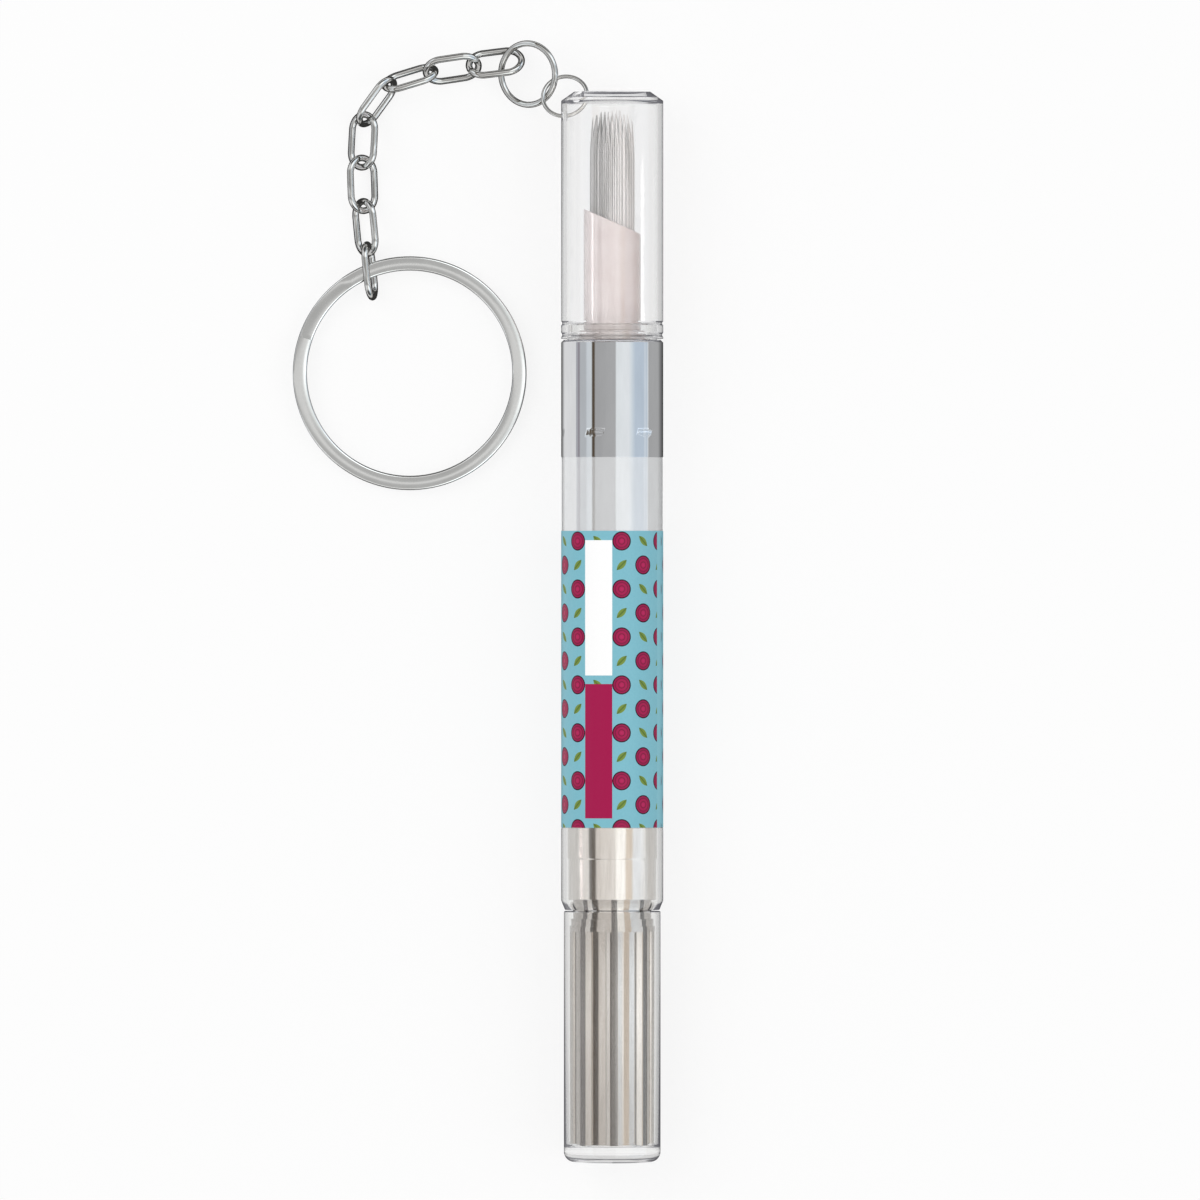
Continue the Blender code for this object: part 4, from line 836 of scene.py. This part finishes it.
# The small ring goes out through the end wall and through the side wall
for isPast, side in ((pastEnd, 1), (pastSide, -1)):
    within, beyond = math.pi, math.pi + side * math.radians(cap["holeReach"])
    for _ in range(cap["halvings"]):
        angle = (within + beyond) / 2
        point = ringPoint(smallFrame, smallRing["radius"], angle)
        if isPast(point):
            beyond = angle
        else:
            within = angle
    along = smallFrame.to_3x3() @ Vector((-math.sin(angle), math.cos(angle), 0))
    drill = added(bpy.ops.mesh.primitive_cylinder_add, vertices=cap["holeSides"], depth=cap["cutterLength"],
                  radius=smallRing["wire"] / 2 + cap["holePlay"], location=shift + point,
                  rotation=along.to_track_quat("Z", "Y").to_euler())
    cutAway(shell, drill)
finishPiece(shell, "clearCap", "cap", clearCap, ["cap"], bevel=0.00012, segments=3)
print("cap made")

# Pieces of the frame that stay, each with its own material
kept = {
    "drive_bush": whiteAcetal, "click_ring": whiteAcetal, "thread_nut": whiteAcetal,
    "piston": whitePolythene, "screw_rod": whiteAcetal, "feed_tube": whitePolythene,
}
for nodeName, material in kept.items():
    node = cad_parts[nodeName]
    node.data.materials.clear()
    node.data.materials.append(material)
print("inner pieces finished")

# Studio: white floor, soft lamps, and bands of light and dark for the metal to show.
# Turns are radians round the pen from straight up, positive to the right
studio = {
    "floorSize": 6.0, "floorDrop": 0.00003, "paper": "f2f2f2", "shadowShare": 0.16,
    "floorNear": 0.05, "farLeft": 0.78, "farRight": 0.42, "floorInPlastic": 0.70,
    "nearLength": 0.007, "leftLength": 0.011, "rightLength": 0.014,     # how far off the floor turns pale
    "fill": 0.62, "through": 1.1, "inside": 2.0, "bandLight": 2.2, "behindLight": 2.9,
    "behindShare": 0.3, "behindTone": "bdb7b2",         # the bands turn this much paler behind plastic
    "behindBands": ((-0.90, 0.16, "35302b"), (0.75, 0.16, "938a80")),      # middle, half width, tone
    "stripLight": 16.0, "stripTurn": (-1.50, 0.10), "stripAlong": (0.0165, 0.005),    # thin lamp on the left
    "anyDepth": 0.5, "behindDepth": 3.5,        # more than none, and in and out of a clear wall twice
    "lamps": (((-0.42, 0.22, 0.60), 0.55, 2.0), ((0.50, -0.10, 0.55), 0.50, 1.3)),    # place, size, watts
}
floor = added(bpy.ops.mesh.primitive_plane_add, size=studio["floorSize"],
              location=(axisX, 0, -studio["floorDrop"]))
floor.name = "studioFloor"
settle(floor)
paper = bpy.data.materials.new("whitePaperSweep")        # matt white paper, which keeps a soft shadow
paper.use_nodes = True
paper.node_tree.nodes.clear()
add = partial(addNode, paper.node_tree)
depths = ("Glossy Depth", "Diffuse Depth", "Transmission Depth")
path = add("LightPath")
matt = add("BsdfDiffuse", {"Color": linear(studio["paper"])})
white = add("Emission", {"Color": linear("ffffff"), "Strength": 1.0})
glossy, diffuse, clear = [path.outputs[name] for name in depths]
# Painted shade in reflections: in polished metal the paper glows dark where it is close, and pale farther
# off, sooner on the left
spot = add("SeparateXYZ", {0: add("TexCoord", out="Object")})
side = add("Math", {0: spot.outputs[0], 1: axisX}, operation="GREATER_THAN")
reach = add("MapRange", {0: side, 3: studio["leftLength"], 4: studio["rightLength"]})
far = add("MapRange", {0: side, 3: studio["farLeft"], 4: studio["farRight"]})
tone = add("MapRange", {0: path.outputs["Ray Length"], 1: studio["nearLength"], 2: reach,
                        3: studio["floorNear"], 4: far})
# Light that has been inside clear plastic finds it pale everywhere
inside = add("Math", {0: clear, 1: studio["anyDepth"]}, operation="GREATER_THAN")
tone = add("Mix", {0: inside, 2: tone, 3: studio["floorInPlastic"]})
dim = add("Emission", {"Color": linear("ffffff"), "Strength": tone})
seen = add("Math", {0: path.outputs["Is Camera Ray"], 1: path.outputs["Is Transmission Ray"]},
           operation="MAXIMUM")
metal = add("Math", {0: glossy, 1: studio["anyDepth"]}, operation="GREATER_THAN")
direct = add("Math", {0: diffuse, 1: studio["anyDepth"]}, operation="LESS_THAN")
metal = add("Math", {0: metal, 1: direct}, operation="MULTIPLY")
lit = add("MixShader", {0: studio["shadowShare"], 1: white, 2: matt})
plain = add("MixShader", {0: seen, 1: matt, 2: lit})
choice = add("MixShader", {0: metal, 1: plain, 2: dim})
add("OutputMaterial", {"Surface": choice})
floor.data.materials.append(paper)

world = bpy.data.worlds.new("studio")
bpy.context.scene.world = world
world.use_nodes = True
world.cycles.sampling_method = "NONE"
world.node_tree.nodes.clear()
add = partial(addNode, world.node_tree)
path = add("LightPath")
glossy, diffuse, clear = [path.outputs[name] for name in depths]
direction = add("SeparateXYZ", {0: add("TexCoord", out="Generated")})
roll = add("Math", {0: direction.outputs[0], 1: direction.outputs[2]}, operation="ARCTAN2")
part = add("MapRange", {0: roll, 1: -math.pi, 2: math.pi, 3: 0.0, 4: 1.0})
bands = add("ValToRGB", {0: part})
# Angle from straight up, positive to the right, and the tone that polished silver shows there
tones = (
    (-180, "2a2b2c"), (-124, "3a3b3c"), (-119, "d3d6da"), (-96, "d3d5d9"), (-92, "a8a9ae"), (-85, "a4a4aa"),
    (-83, "8f8a90"), (-80, "8f8a90"), (-78, "b2b5b8"), (-63, "b2b5b8"), (-59, "c8cdd1"), (-48, "ccd1d4"),
    (-46, "544a3e"), (-41, "544a3e"), (-39, "a2a2a2"), (7, "ababab"), (9, "dfe3e4"), (38, "e3e6e8"),
    (44, "d5dde2"), (54, "b9c5d1"), (76, "b9c5d1"), (80, "cdd5dc"), (84, "b9c5d1"), (90, "d8dcde"),
    (100, "d8dcde"), (104, "9c9f9f"), (125, "6a6a68"), (180, "2a2b2c"))
setRamp(bands, [((angle + 180) / 360, code) for angle, code in tones])
# Towards both ends of the pen stands a light bank, and past it the room is dark. A small light
# panel hangs just off the middle, where the key ring's flat face shows it and the pen doesn't
endways = add("MapRange", {0: direction.outputs[1], 1: -1.0, 2: 1.0})
banks = add("ValToRGB", {0: endways})
setRamp(banks, [
    (0.0, "505050"), (0.08, "6a6a6a"), (0.15, "ffffff"), (0.29, "ffffff"), (0.35, "bcbcbc"), (0.43, "bcbcbc"),
    (0.45, "ececec"), (0.4775, "ececec"), (0.483, "bcbcbc"), (0.65, "bcbcbc"), (0.71, "ffffff"),
    (0.85, "ffffff"), (0.92, "6a6a6a"), (1.0, "505050")])
toned = add("Mix", {0: 1.0, 6: bands, 7: banks}, 2, data_type="RGBA", blend_type="MULTIPLY")
# Through clear plastic the room is white, and dark only low down at the sides
shade = add("ValToRGB", {0: part})
setRamp(shade, [
    (0.0, "6e7072"), (0.16, "8c8e90"), (0.22, "f4f4f4"), (0.78, "f4f4f4"), (0.84, "8c8e90"), (1.0, "6e7072")])
# Metal behind clear plastic is seen through it twice, and shows paler bands and one thin bright lamp
behind = add("Math", {0: clear, 1: studio["behindDepth"]}, operation="GREATER_THAN")
bare = add("Math", {0: clear, 1: studio["anyDepth"]}, operation="LESS_THAN")
onMetal = add("Math", {0: behind, 1: bare}, operation="MAXIMUM")
pale = add("Math", {0: behind, 1: studio["behindShare"]}, operation="MULTIPLY")
toned = add("Mix", {0: pale, 6: toned, 7: linear(studio["behindTone"])}, 2, data_type="RGBA")
for turn, half, code in studio["behindBands"]:
    wide = add("Math", {0: roll, 1: turn, 2: half}, operation="COMPARE")
    wide = add("Math", {0: wide, 1: behind}, operation="MULTIPLY")
    toned = add("Mix", {0: wide, 6: toned, 7: linear(code)}, 2, data_type="RGBA")
# The thin lamp hangs over the pen's brush end
strip = behind
for value, (middle, half) in ((roll, studio["stripTurn"]), (direction.outputs[1], studio["stripAlong"])):
    near = add("Math", {0: value, 1: middle, 2: half}, operation="COMPARE")
    strip = add("Math", {0: strip, 1: near}, operation="MULTIPLY")
bandLight = add("MapRange", {0: behind, 3: studio["bandLight"], 4: studio["behindLight"]})
bandLight = add("MapRange", {0: strip, 3: bandLight, 4: studio["stripLight"]})
# What stands inside the plastic is lit white from the left and above, and beige from the right
sides = add("ValToRGB", {0: part})
setRamp(sides, [
    (0.0, "dcd8d5"), (0.25, "dcd4d6"), (0.42, "ffffff"), (0.58, "f8f4f3"), (0.68, "8f5f35"), (0.80, "502d10"),
    (0.92, "64482b"), (1.0, "dcd8d5")])
white = linear("ffffff")
lights = ((white, studio["fill"]), (toned, bandLight), (shade, studio["through"]), (white, 1.0),
          (sides, studio["inside"]))
fill, band, through, plain, bright = [
    add("Background", {"Color": color, "Strength": strength}) for color, strength in lights]
# Metal shows the bands, also from behind clear plastic, and what is matt gets even light
mirrored = add("Math", {0: glossy, 1: studio["anyDepth"]}, operation="GREATER_THAN")
mirrored = add("Math", {0: mirrored, 1: onMetal}, operation="MULTIPLY")
scattered = add("Math", {0: diffuse, 1: studio["anyDepth"]}, operation="GREATER_THAN")
even = add("MixShader", {0: path.outputs["Is Transmission Ray"], 1: fill, 2: bright})
sharp = add("MixShader", {0: mirrored, 1: through, 2: band})
mixed = add("MixShader", {0: scattered, 1: sharp, 2: even})
whole = add("MixShader", {0: path.outputs["Is Camera Ray"], 1: mixed, 2: plain})
add("OutputWorld", {"Surface": whole})

for number, (place, size, watts) in enumerate(studio["lamps"], start=1):
    aim = (Vector((axisX, 0, 0)) - Vector(place)).to_track_quat("-Z", "Y").to_euler()
    lamp = added(bpy.ops.object.light_add, type="AREA", location=place, rotation=aim)
    lamp.name = f"softBox{number}"
    lamp.data.size = size
    lamp.data.energy = watts
    lamp.visible_glossy = False
    lamp.visible_transmission = False

# A long lens from high up, so hardly any perspective
view = {"lens": 600.0, "place": (0.01432, 0.00016, 2.3473), "clip": (0.01, 50.0)}
camera = added(bpy.ops.object.camera_add, location=view["place"], rotation=(0, 0, 0))
camera.data.lens = view["lens"]
camera.data.clip_start, camera.data.clip_end = view["clip"]
bpy.context.scene.camera = camera
bpy.context.scene.view_settings.view_transform = "Standard"
print("studio made")
